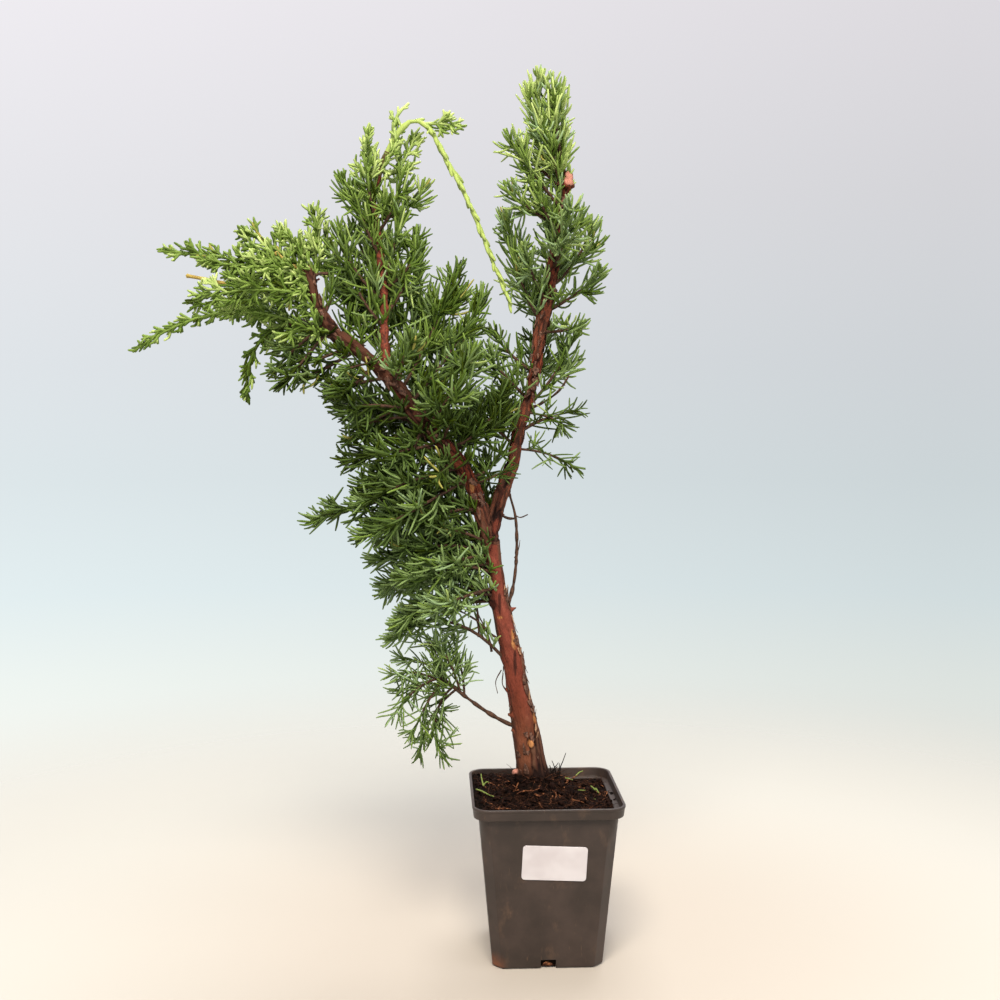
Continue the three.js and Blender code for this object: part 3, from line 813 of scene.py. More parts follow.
FRESH_SPOTS = [
    Spot((-18.4, -5.6, 193.2), 6, 1.6, -0.35),
    Spot((-27.6, -5.4, 205.6), 0.9, 1.1, -0.2),
    Spot((-8.2, -4.2, 128.4), 2.6, 1.5, -0.3),
    Spot((-6.6, 2, 149), 11, 1.3, -0.3),
    Spot((-83, -20, 333), 3, 1, -0.2),
    Spot((-44, -14, 284), 4, 1.1, -0.2),
]
DARK_SPOTS = [
    Spot((-33, -3.5, 213), 3.6, 3.2),
    Spot((-8.2, -4.2, 128.4), 3.6, 2.2),
    Spot((-13.4, 0.6, 205), 3, 1.6),
    Spot((-18, -5.4, 179), 8, 0.7),
    Spot((-21.4, -5, 168), 5, 0.5),
    Spot((-16.8, -6, 147), 1.8, 1.3),
    Spot((-27.5, -5.6, 214), 6, 0.6),
]
KNOTS = [
    Spot((-16.6, -5.4, 146.5), 2.4, 2.4, 0.5),
    Spot((-25.6, 0.5, 181), 4.5, 3.2, 1.1),
    Spot((-21.5, 0.5, 163), 4, 2.6, 0.7),
    Spot((-31.5, -1, 216), 5, 3.4, 1.2),
    Spot((-12.5, 2, 178), 5, 3, 0.7),
    Spot((-22, -5.8, 206), 3.4, 4.2, 0.7),
    Spot((-8.2, -4.2, 128.4), 5, 3.2, 0.6),
    Spot((-126, -17, 377), 4, 3.4, 0.8),
    Spot((-55, -17.5, 303), 3.6, 3.2, 0.6),
]


@dataclass(frozen=True)
class FlakeField:
    """A stretch of a limb whose bark hangs loose, with the side its flakes face and how big they are."""

    limb: str
    count: int
    low: float
    high: float
    facing: Point
    spread: float
    lift: float = 1.5
    width: float = 1.9
    pale: bool = False


FLAKE_FIELDS = [
    FlakeField("trunk", 60, 0.06, 0.8, (1.0, -0.25, 0.0), 0.6, pale=True),
    FlakeField("trunk", 16, 0.02, 0.3, (0.5, -1.0, 0.0), 0.9),
    FlakeField("trunk", 14, 0.1, 0.95, (-1.0, -0.2, 0.0), 0.7),
    FlakeField("right_limb", 50, 0.3, 0.95, (0.0, -1.0, 0.0), 2.6, lift=2.6, width=2.4),
    FlakeField("left_limb", 90, 0.12, 0.97, (0.0, -1.0, -0.3), 2.6, lift=2.6, width=2.4),
]


@dataclass
class Wood:
    """The trunk and boughs as one grown mesh with the bark's relief, and its loose flakes."""

    bark: Material
    loose: Material
    pale: Material
    rings: int = 90
    sides: int = 28
    voxel: float = 0.62
    flare_reach: float = 0.2
    flare_spread: float = 0.3
    flare_lobes: int = 5
    flare_turn: float = 0.5
    fork: float = 250.0
    ground: float = 97.0
    below: float = 60.0
    cut_half: float = 40.0

    THICK = ("trunk", "right_limb", "left_limb", "left_side_bough")
    SAWN = (1.3, 1.1, 1.0, 1.0, 0.95)
    BROKEN = (2.1, 1.7, 1.25, 0.9, 0.6)
    FLAKE = np.array([1.0, 1.1, 1.0, 0.85, 0.6, 0.25])
    FLAKE_THICKNESS = 0.17

    def tube(self, maker: MeshMaker, name: str) -> None:
        """Adds a limb's plain tube to what is to be grown together.

        Args:
            maker: what gathers the tubes.
            name: the limb's name.
        """
        limb = LIMBS[name]
        shares = even(self.rings)
        path = limb.curve.at(shares)[None]
        _, asides, lifts = frames_along(path)
        angle = np.arange(self.sides) * TURN / self.sides
        radius = limb.radius(shares)[:, None] * np.ones(self.sides)
        if name == "trunk":
            near = np.clip(1 - shares / self.flare_reach, 0, 1) ** 2
            ridge = 0.5 + 0.5 * np.cos(self.flare_lobes * (angle - self.flare_turn))
            radius = radius * (1 + self.flare_spread * near[:, None] * ridge)
        out = np.cos(angle)[:, None] * asides[0][:, None] + np.sin(angle)[:, None] * lifts[0][:, None]
        points = (path[0][:, None] + out * radius[..., None]).reshape(-1, 3)
        points = np.vstack((points, path[0][-1], path[0][0]))
        maker.add(points, skin(self.rings, self.sides, True))

    def grown(self) -> Thing:
        """The thick limbs and stubs grown together into one smooth mesh."""
        maker = MeshMaker()
        for name in self.THICK:
            self.tube(maker, name)
        for stub in STUBS:
            profile = self.SAWN if stub.fresh else self.BROKEN
            path = mix(np.array(stub.start), np.array(stub.end), even(len(profile))[:, None])
            maker.add_tubes(path[None], stub.girth * np.array([profile]), 14, foot=True)
        grown = maker.piece("trunk_and_boughs", [self.bark])
        remesh = grown.modifiers.new("grown_together", "REMESH")
        remesh.mode = "VOXEL"
        remesh.voxel_size = self.voxel * METRE
        remesh.use_smooth_shade = True
        soften = grown.modifiers.new("soft_forks", "SMOOTH")
        soften.factor = 0.5
        soften.iterations = 4
        settle(grown)
        return grown

    def relief(self, grown: Thing) -> None:
        """Raises the bark's relief on the grown mesh, and keeps its features for the material.

        Args:
            grown: the trunk and boughs.
        """
        mesh = grown.data
        points = read_points(mesh)
        normals = np.empty(len(points) * 3)
        mesh.vertices.foreach_get("normal", normals)
        normals = normals.reshape(-1, 3)
        grain = grain_of(points, self.THICK)

        def bumps(wide: float, tall: float, seed: int) -> Array:
            """Noise with bumps of a width and of a height along the grain."""
            return ripple(grain / (wide, wide, tall), seed)

        # How old the bark is, by its side and height
        trunk = points[:, 2] < self.fork
        foot = ease(152, 118, points[:, 2]) * ease(-0.35, 0.45, normals[:, 0])
        right = ease(0.45, 0.95, normals[:, 0]) * trunk
        left = ease(0.6, 0.95, -normals[:, 0]) * trunk
        shreds = ease(-0.3, 0.5, bumps(9, 30, 17)) * ~trunk
        old = np.clip(0.14 + 0.8 * foot + 0.5 * right + 0.4 * left + 0.7 * shreds + 0.25 * ~trunk, 0, 1)
        # Plates with cracked edges, furrows, ridges and fibres
        level = bumps(5.5, 22, 11) + 0.45 * bumps(1.9, 7, 12) + mix(-0.75, 0.55, old)
        shelf = ease(0.0, 0.16, level)
        deep = np.maximum(foot, 0.8 * ~trunk)
        broad = 0.02 * deep
        edge = np.exp(-((level + 0.03) ** 2) / (0.006 + broad)) * ease(0.15, 0.7, old)
        furrow = np.exp(-(bumps(2.6, 15, 13) ** 2) / (0.004 + broad)) * ease(0.3, 0.9, old)
        ridges = (0.95 * bumps(1.5, 11, 19) + 0.6 * bumps(2.2, 4, 20)) * ~trunk
        lumps = bumps(6, 13, 15) * 0.42 + bumps(2.4, 4.5, 18) * 0.2
        cut = self.cut_ends(points)
        height = (mix(0.2, 0.6, old) + 0.7 * foot) * shelf + 0.12 * bumps(0.8, 7, 14) + lumps + ridges
        height = height - (0.35 + 0.3 * deep) * edge - (0.3 + 0.3 * deep) * furrow - 0.2
        for spot in KNOTS + FRESH_SPOTS:
            height = height + spot.height * np.exp(-(spot.away(points) ** 2))
        # What the material reads
        dark = 0.75 * self.spots(points, DARK_SPOTS, grain)
        # Painted shade at the foot: the bark darkens towards the soil, fully below 107 mm and not at all
        # above 119 mm
        foot_shade = 0.9 * ease(119, 107, points[:, 2])
        # The crack layer holds the real cracks, furrows and dark spots, plus painted shade: a share on the
        # trunk's left side, and the darkening at the foot
        crack_and_shade = edge * (0.6 + 0.35 * deep) + furrow * (0.5 + 0.3 * deep) + dark + 0.3 * left + foot_shade
        keep_on_mesh(mesh, "shelf", shelf * ease(0.05, 0.5, old))
        keep_on_mesh(mesh, "crack_and_shade", np.clip(crack_and_shade, 0, 1))
        keep_on_mesh(mesh, "fresh", self.spots(points, FRESH_SPOTS, grain))
        keep_on_mesh(mesh, "cut", cut)
        vector = mesh.attributes.new("grain", "FLOAT_VECTOR", "POINT")
        vector.data.foreach_set("vector", (grain * METRE).astype(np.float32).ravel())
        points = points + normals * (height * (1 - cut))[:, None]
        mesh.vertices.foreach_set("co", (points * METRE).astype(np.float32).ravel())
        mesh.update()

    @staticmethod
    def spots(points: Array, spots: Sequence[Spot], grain: Array) -> Array:
        """How much of a patch each point has, with ragged edges.

        Args:
            points: the places.
            spots: the patches.
            grain: the places as if the limbs were straight.

        Returns:
            A share for each point.
        """
        ragged = 0.3 * ripple(grain / (1.7, 1.7, 3.4), 16)
        share = np.zeros(len(points))
        for spot in spots:
            share = np.maximum(share, ease(1.25, 0.85, spot.away(points, 1.5) + ragged))
        return share

    @staticmethod
    def cut_ends(points: Array) -> Array:
        """Which points lie on the sawn ends of the pruned stubs.

        Args:
            points: the places.

        Returns:
            1 on a sawn end and 0 off it, for each point.
        """
        share = np.zeros(len(points))
        for stub in STUBS:
            if stub.fresh:
                end = np.array(stub.end)
                along = (points - end) @ unit(end - np.array(stub.start))
                aside = np.linalg.norm(points - end, axis=1)
                share = np.maximum(share, ease(-1.0, -0.3, along) * (aside < stub.girth * 1.25))
        return share

    def build(self) -> None:
        """Builds the trunk and boughs, cut off flat at the ground."""
        grown = self.grown()
        half = self.cut_half
        cut_with(grown, block((-half, -half, self.below), (half, half, self.ground)))
        self.relief(grown)
        present(grown, "bark", *self.THICK)
        self.flakes()

    def flakes(self) -> None:
        """Thin flakes of bark that are held at one end and stand off at the other."""
        maker = MeshMaker()
        rise = even(len(self.FLAKE))
        for number, field in enumerate(FLAKE_FIELDS):
            limb = LIMBS[field.limb]
            curve = limb.curve
            index = np.arange(field.count)
            seed = 60 + number
            share = chance(seed, index, field.low, field.high)
            ahead = curve.ahead(share)
            facing = unit(np.array(field.facing) - ahead * (ahead @ np.array(field.facing))[:, None])
            turn = chance(seed, index + 20, -field.spread, field.spread)[:, None]
            out = facing * np.cos(turn) + np.cross(ahead, facing) * np.sin(turn)
            hangs = np.where(chance(seed, index + 60) > 0.3, -1, 1)
            tall = chance(seed, index + 40, 2.2, 7.5) * hangs
            lift = chance(seed, index + 80, 0.2, field.lift)
            depth = limb.radius(share)[:, None] + 0.05 + lift[:, None] * rise**2
            paths = curve.at(share)[:, None] + out[:, None] * depth[..., None]
            paths = paths + ahead[:, None] * (tall[:, None] * rise)[..., None]
            ragged = chance(seed + index[:, None], np.arange(len(rise)) + 7, 0.65, 1.15)
            wide = chance(seed, index + 90, 0.7, field.width)[:, None] * self.FLAKE * ragged
            pale = (index % 4 == 0) & field.pale
            for finish, chosen in enumerate((~pale, pale)):
                thin = np.full(wide[chosen].shape, self.FLAKE_THICKNESS)
                maker.add_tubes(paths[chosen], wide[chosen], 6, finish, deep=thin, up=out[chosen], foot=True)
        present(maker.piece("bark_flakes", [self.loose, self.pale]), "bark", *self.THICK)


def grain_of(points: Array, names: Sequence[str]) -> Array:
    """Where points lie about the limb nearest to each, as if it were straightened.

    Args:
        points: the places.
        names: the limbs that they may be on.

    Returns:
        How far each point is aside and lifted from the limb's middle, and how far along the limb.
    """
    rows = []
    for number, name in enumerate(names):
        curve = LIMBS[name].curve
        count = int(curve.length)
        path = curve.at(even(count))[None]
        _, aside, lift = frames_along(path)
        far = np.linspace(0, curve.length, count) + number * 500
        rows.append(np.column_stack((path[0], aside[0], lift[0], far)))
    line = np.vstack(rows)
    tree = KDTree(len(line))
    for i, row in enumerate(line):
        tree.insert(row[:3], i)
    tree.balance()
    near = line[[tree.find(point)[1] for point in points]]
    off = points - near[:, :3]
    aside, lifted = (off * near[:, 3:6]).sum(1), (off * near[:, 6:9]).sum(1)
    return np.stack((aside, lifted, near[:, 9] + off[:, 2] * 0.3), -1)


def read_points(mesh: bpy.types.Mesh) -> Array:
    """A mesh's points in millimetres."""
    points = np.empty(len(mesh.vertices) * 3)
    mesh.vertices.foreach_get("co", points)
    return points.reshape(-1, 3) / METRE


def keep_on_mesh(mesh: bpy.types.Mesh, name: str, values: Array) -> None:
    """Keeps one number for each point on the mesh, for its material to read."""
    attribute = mesh.attributes.new(name, "FLOAT", "POINT")
    attribute.data.foreach_set("value", values.astype(np.float32))


def settle(thing: Thing) -> None:
    """Puts the result of an object's modifiers in the place of its mesh."""
    graph = bpy.context.evaluated_depsgraph_get()
    made = bpy.data.meshes.new_from_object(thing.evaluated_get(graph))
    thing.modifiers.clear()
    thing.data = made


def cut_with(thing: Thing, tool: Thing) -> None:
    """Cuts a tool's shape out of an object, and removes the tool.

    Args:
        thing: the object.
        tool: what it is cut with.
    """
    cut = thing.modifiers.new("cut", "BOOLEAN")
    cut.operation = "DIFFERENCE"
    cut.solver = "MANIFOLD"
    cut.object = tool
    settle(thing)
    bpy.data.objects.remove(tool)


# Foliage


class Leaf(Enum):
    """The kinds of leaf on a young juniper: needles, longer and sparser ones in the shade, and scales."""

    NEEDLE = "needle"
    SPARSE = "sparse"
    SCALE = "scale"


@dataclass(frozen=True)
class LeafKind:
    """How shoots of one kind branch and bear leaves. A pair is at the foot and at the tip, or a range."""

    twiglet_spacing: float = 4.2
    twiglet_length: Pair = (6.0, 12.0)
    twiglet_openness: float = 0.9
    twig_girth: Pair = (0.8, 0.62)
    twiglet_girth: Pair = (0.68, 0.58)
    spacing: float = 2.35
    length: Pair = (13.0, 23.0)
    girth: float = 0.68
    openness: Pair = (1.0, 0.42)
    curl: float = 0.9
    flat: bool = False
    finer: int = 3
    stem: Pair = (1.1, 0.65)
    reach: float = 0.7
    bound: float = 1.1
    rise: Pair = (0.0, 0.75)
    # How much lighter leaves on the outside of a mass are painted than those inside it: painted light
    # outside, painted shade inside
    painted_outer_light: float = 1.5


KINDS = {
    Leaf.NEEDLE: LeafKind(),
    Leaf.SPARSE: LeafKind(
        twiglet_spacing=4.4, twiglet_length=(8.0, 15.0), twiglet_openness=0.75, twig_girth=(0.56, 0.46),
        twiglet_girth=(0.5, 0.45), spacing=2.5, length=(9.0, 19.0), girth=0.5, openness=(0.95, 0.35),
        curl=0.7, finer=2, stem=(0.8, 0.5), bound=1.4, rise=(-0.35, 0.3),
    ),
    Leaf.SCALE: LeafKind(
        twiglet_spacing=3.0, twiglet_length=(7.0, 14.0), twiglet_openness=0.68, twig_girth=(1.0, 0.85),
        twiglet_girth=(0.9, 0.8), spacing=2.1, length=(3.5, 8.5), girth=0.76, openness=(0.66, 0.42),
        curl=0.4, flat=True, stem=(1.15, 0.85), reach=0.88, bound=1.04, rise=(-0.1, 0.3), painted_outer_light=2.5,
    ),
}


@dataclass(frozen=True)
class Mass:
    """One mass of foliage: where its stem leaves its limb, its tip, how its middle bows, and its girth."""

    name: str
    limb: str
    at: float
    tip: Point
    bow: Point
    girth: float
    leaf: Leaf = Leaf.NEEDLE
    bare: float = 0.06

    @property
    def node(self) -> str:
        """The name of the node that it stands for."""
        return f"foliage_{self.name}"


def masses_of(table: str) -> list[Mass]:
    """Reads masses from plain lines.

    Args:
        table: a line with each limb's name, and under it a line for each mass on that limb: its name, at,
            tip, bow and girth, then its leaf and bare if they aren't the usual ones.

    Returns:
        The masses, in the order of the lines.
    """
    masses = []
    for line in table.strip().splitlines():
        name, *words = line.split()
        if not words:
            limb = name
            continue
        at, x, y, z, *bow, girth = map(float, words[:8])
        more = [Leaf(word) for word in words[8:9]] + [float(word) for word in words[9:]]
        masses.append(Mass(name, limb, at, (x, y, z), tuple(bow), girth, *more))
    return masses


MASSES = masses_of("""
right_limb
top_plume 0.955 -3 3 527 -6 0 0 14
top_left_plume 0.90 -24 -8 489 1 0 -2 14
top_low_left 0.86 -25 -14 458 0 0 -2 12
upper_right 0.70 29 6 442 3 0 -3 16
upper_right_low 0.63 33 -7 411 0 0 -2 12
upper_left 0.60 -22 5 446 -4 0 -3 14
upper_front 0.75 12 -34 447 0 -2 -4 15
upper_rear 0.68 10 46 446 0 2 -4 19
middle_right 0.37 19 4 376 1 0 -4 14
lower_right 0.30 20 -6 329 0 0 3 11 sparse
lower_right_tip 0.26 19 -9 294 2 -2 3 10 sparse
middle_left 0.47 -33 3 378 0 0 -3 11
middle_rear 0.42 4 50 380 0 2 -4 19
left_limb
far_left_upper 0.985 -224 -4 422 0 -1 2 8 scale
far_left_middle 0.92 -208 -16 391 0 0 6 13 scale
left_crest 0.955 -137 0 448 2 1 0 13 scale
left_crest_middle 0.97 -182 14 436 0 3 4 14 scale
left_inner 0.76 -116 18 413 2 4 -2 15
left_under 0.82 -155 -22 343 0 -3 -1 14
limb_under 0.66 -128 -26 339 3 -3 -3 13
centre 0.545 -50 6 416 1 3 -2 18 needle 0.3
centre_left 0.56 -76 20 412 1 4 -2 17
centre_front 0.42 -42 -38 366 0 -6 -4 18
centre_rear 0.45 -44 46 382 0 4 -6 21
centre_right 0.32 -23 -11 344 2 0 -6 17
left_shoulder 0.48 -124 -18 330 0 -3 3 16
left_middle 0.33 -120 -8 299 0 -3 3 17
left_middle_rear 0.36 -108 50 316 0 0 4 21
left_lower 0.19 -143 -3 262 0 -2 4 13
left_lower_front 0.22 -112 -26 254 0 -8 0 15
left_lower_rear 0.15 -88 42 262 0 2 4 20
left_side_bough
far_left_tail 0.55 -243 2 364 0 0 15 5 scale
far_left_lower 0.93 -177 9 334 -8 0 6 6 scale
far_left_rear 0.97 -203 48 396 0 0 4 17 scale
upright_shoot
upright_left 0.30 -123 -6 436 -3 0 -4 16
upright_right 0.24 -75 -7 434 3 0 -4 13
upright_rear 0.26 -98 42 440 0 4 -4 19
upright_top_left 0.56 -119 0 466 -2 0 -3 12
upright_top 0.68 -105 2 494 -2 0 0 11 scale
upright_top_right 0.60 -71 3 462 3 0 -4 12
upright_inner 0.74 -77 3 492 4 2 -2 11 scale
upright_tip 0.90 -86 -3 503 -1 0 0 6 scale
drooping_shoot
drooping_spray 0.07 -50 -5 494 0 0 1 8 scale
trunk
lower 0.88 -98 -3 224 0 -2 4 17
lower_front 0.81 -72 -30 211 0 -4 3 14
lower_under 0.49 -95 -8 191 0 -4 22 12 needle 0.5
low_branch
hanging_upper 0.93 -78 0 203 2 0 0 15 sparse
hanging_middle 0.97 -93 -12 146 0 -1 6 12 sparse
hanging_lower 0.84 -62 2 117 -7 2 4 13 sparse
""")
# Shoots that grow beside a mass and stand for the same node, where the crown is thick
SIDE_SHOOTS = masses_of("""
left_limb
left_inner 0.7 -119 6 415 2 2 -2 14
left_inner 0.62 -106 10 400 1 3 -2 12
left_under 0.72 -144 -14 348 -3 -2 -3 14
left_under 0.8 -162 6 364 -2 2 0 13
centre_front 0.36 -102 -26 306 0 -5 -2 14
centre_right 0.34 -38 -14 324 2 -3 -4 14
centre_right 0.22 -26 -8 308 2 -2 -3 12
left_middle 0.12 -98 -18 260 -2 -4 3 16
left_lower 0.06 -90 4 240 -2 2 3 15
left_shoulder 0.52 -119 4 325 -2 3 2 15
centre 0.5 -35 -5 400 1 -2 -3 12
centre_front 0.58 -78 -44 372 0 -6 -2 12
left_under 0.66 -118 -36 352 -2 -6 0 11 sparse
centre_front 0.3 -66 -36 292 -1 -6 -2 13
centre_right 0.2 -22 -24 298 1 -5 -1 10 sparse
left_inner 0.86 -127 -6 410 3 -3 -1 10
far_left_middle 0.86 -162 -4 396 -2 -3 5 12 scale
left_crest_middle 0.93 -158 3 410 0 2 4 11 scale
far_left_middle 0.8 -152 -24 372 -2 -5 3 12 scale
centre_front 0.36 -57 -32 330 1 -3 -2 12
centre_front 0.42 -80 -26 299 -1 -3 2 12
centre_right 0.26 -45 -26 305 1 -3 0 10
left_middle 0.4 -100 -14 290 -2 -3 3 12
left_shoulder 0.5 -118 -10 311 -2 -2 2 12
left_under 0.84 -161 -12 351 -2 -2 -1 10
left_under 0.74 -137 -25 357 -2 -3 -1 9
left_crest_middle 0.96 -150 -3 431 -1 0 2 9 scale
left_lower_front 0.1 -72 -12 280 0 -3 2 12
left_lower 0.2 -112 -8 280 -1 -2 3 13
centre_rear 0.4 -72 42 350 0 4 -2 15
centre_rear 0.3 -38 38 338 0 3 -2 14
centre_rear 0.5 -66 36 398 0 4 -2 14
left_middle_rear 0.42 -132 38 342 -2 3 0 15
left_middle_rear 0.2 -62 40 300 0 3 0 14
left_lower_rear 0.1 -110 34 282 -2 3 0 15
far_left_rear 0.95 -166 36 410 0 3 3 13 scale
left_middle 0.26 -112 -32 276 -1 -5 2 13
left_middle 0.3 -112 -14 284 -2 -3 2 13
left_lower 0.12 -108 -10 262 -2 -3 3 14
left_shoulder 0.46 -114 -6 318 -2 -2 2 13
left_under 0.6 -124 -20 342 -2 -3 0 12
left_crest_middle 0.95 -176 -4 424 0 -1 4 10 scale
far_left_middle 0.93 -186 -2 408 0 0 5 11 scale
left_crest_middle 0.98 -158 6 437 0 1 4 9 scale
far_left_upper 0.97 -198 -8 414 0 -1 3 8 scale
left_side_bough
far_left_middle 0.35 -169 14 375 -2 3 2 12 scale
far_left_rear 0.6 -170 40 372 0 3 0 13 scale
far_left_middle 0.8 -184 0 392 0 0 4 11 scale
upright_shoot
upright_left 0.2 -115 -6 412 -2 -2 -2 13
upright_left 0.38 -114 10 441 -2 3 -3 12
upright_top_left 0.6 -105 -8 475 -1 -2 -1 10
upright_top_right 0.55 -84 -9 470 2 -3 -3 12
upright_right 0.34 -74 -14 426 2 -3 -3 12
upright_tip 0.78 -87 -7 486 1 -2 0 7 scale
upright_top_right 0.36 -85 -16 447 1 -2 -2 10
upright_top_left 0.46 -114 -6 461 -1 -2 -2 10
upright_rear 0.42 -108 30 456 0 3 -2 12
upright_rear 0.16 -92 34 412 0 3 -2 13
right_limb
middle_left 0.4 -37 -6 365 0 -2 -2 13
middle_left 0.27 -43 -4 337 0 -2 -3 14
upper_right_low 0.58 22 -10 381 1 -2 -2 10
top_left_plume 0.95 -15 4 483 0 1 0 11
top_plume 0.93 -3 -3 501 0 -1 0 10
top_plume 0.97 -12 -3 517 -4 0 3 10
top_plume 0.96 9 2 521 -4 1 2 11 needle 0.45
top_plume 0.98 3 -5 523 -2 -2 0 10 needle 0.35
centre_right 0.05 -38 16 298 -1 3 0 11
middle_left 0.3 -27 -4 342 -1 -2 0 9
upper_left 0.66 -14 -12 425 -1 -2 -2 10
top_low_left 0.84 -9 -12 463 -1 -2 -2 8
lower_right 0.36 13 -6 319 1 -1 2 9 sparse
middle_rear 0.3 -22 36 345 0 3 -2 14
upper_rear 0.6 -12 34 414 0 3 -2 13
upper_rear 0.84 -4 30 472 0 2 -2 12
trunk
lower 0.96 -106 2 238 -2 0 4 12
lower 0.86 -62 -18 240 0 -3 2 12
left_lower_front 0.97 -68 -18 263 0 -3 2 13
lower_front 0.78 -58 -10 219 0 -2 2 10
lower 0.93 -100 12 217 -2 3 4 14
lower_front 0.84 -90 -16 202 -2 -3 4 13
left_lower_rear 0.95 -58 36 238 0 3 0 14
lower 0.9 -84 30 216 0 3 2 13
left_lower_front 0.94 -88 -30 232 0 -4 2 12
left_lower 0.98 -100 4 250 -2 2 3 13
lower 0.95 -88 -16 248 -2 -3 3 13
lower 0.9 -82 -22 228 -1 -4 3 13
lower_under 0.8 -86 -10 206 -1 -3 4 12
lower_under 0.76 -92 2 199 -1 2 4 11
low_branch
hanging_upper 0.75 -68 -12 195 2 -3 2 12 sparse
hanging_upper 0.9 -88 4 178 0 2 5 12 sparse
hanging_middle 0.85 -90 4 158 -1 2 3 13 sparse
hanging_middle 0.95 -80 -6 134 -1 -2 3 13 sparse
hanging_lower 0.7 -56 4 194 2 1 -3 8 sparse
hanging_lower 0.8 -76 4 118 -4 2 3 11 sparse
hanging_middle 0.8 -95 -2 170 -1 2 5 12 sparse
left_limb
left_crest 0.965 -129 2 438 3 1 2 10 scale
""")


@dataclass
class Shoots:
    """A batch of twigs: their curves, their radii at foot and tip, and how light their leaves are."""

    control: Array
    girth: Pair
    light: Array

    @property
    def lengths(self) -> Array:
        """How long each twig is."""
        return np.linalg.norm(np.diff(self.control, axis=1), axis=2).sum(axis=1)

    def tubes(self, rings: int) -> tuple[Array, Array]:
        """The rings' middles and radii for a tube on each twig."""
        across = mix(*self.girth, even(rings))
        return swept(self.control, rings), np.repeat(across[None], len(self.control), axis=0)


def numbered(counts: Array) -> tuple[Array, Array]:
    """The twig of every side shoot, and its own number on that twig."""
    return np.repeat(np.arange(len(counts)), counts), np.concatenate([np.arange(count) for count in counts])


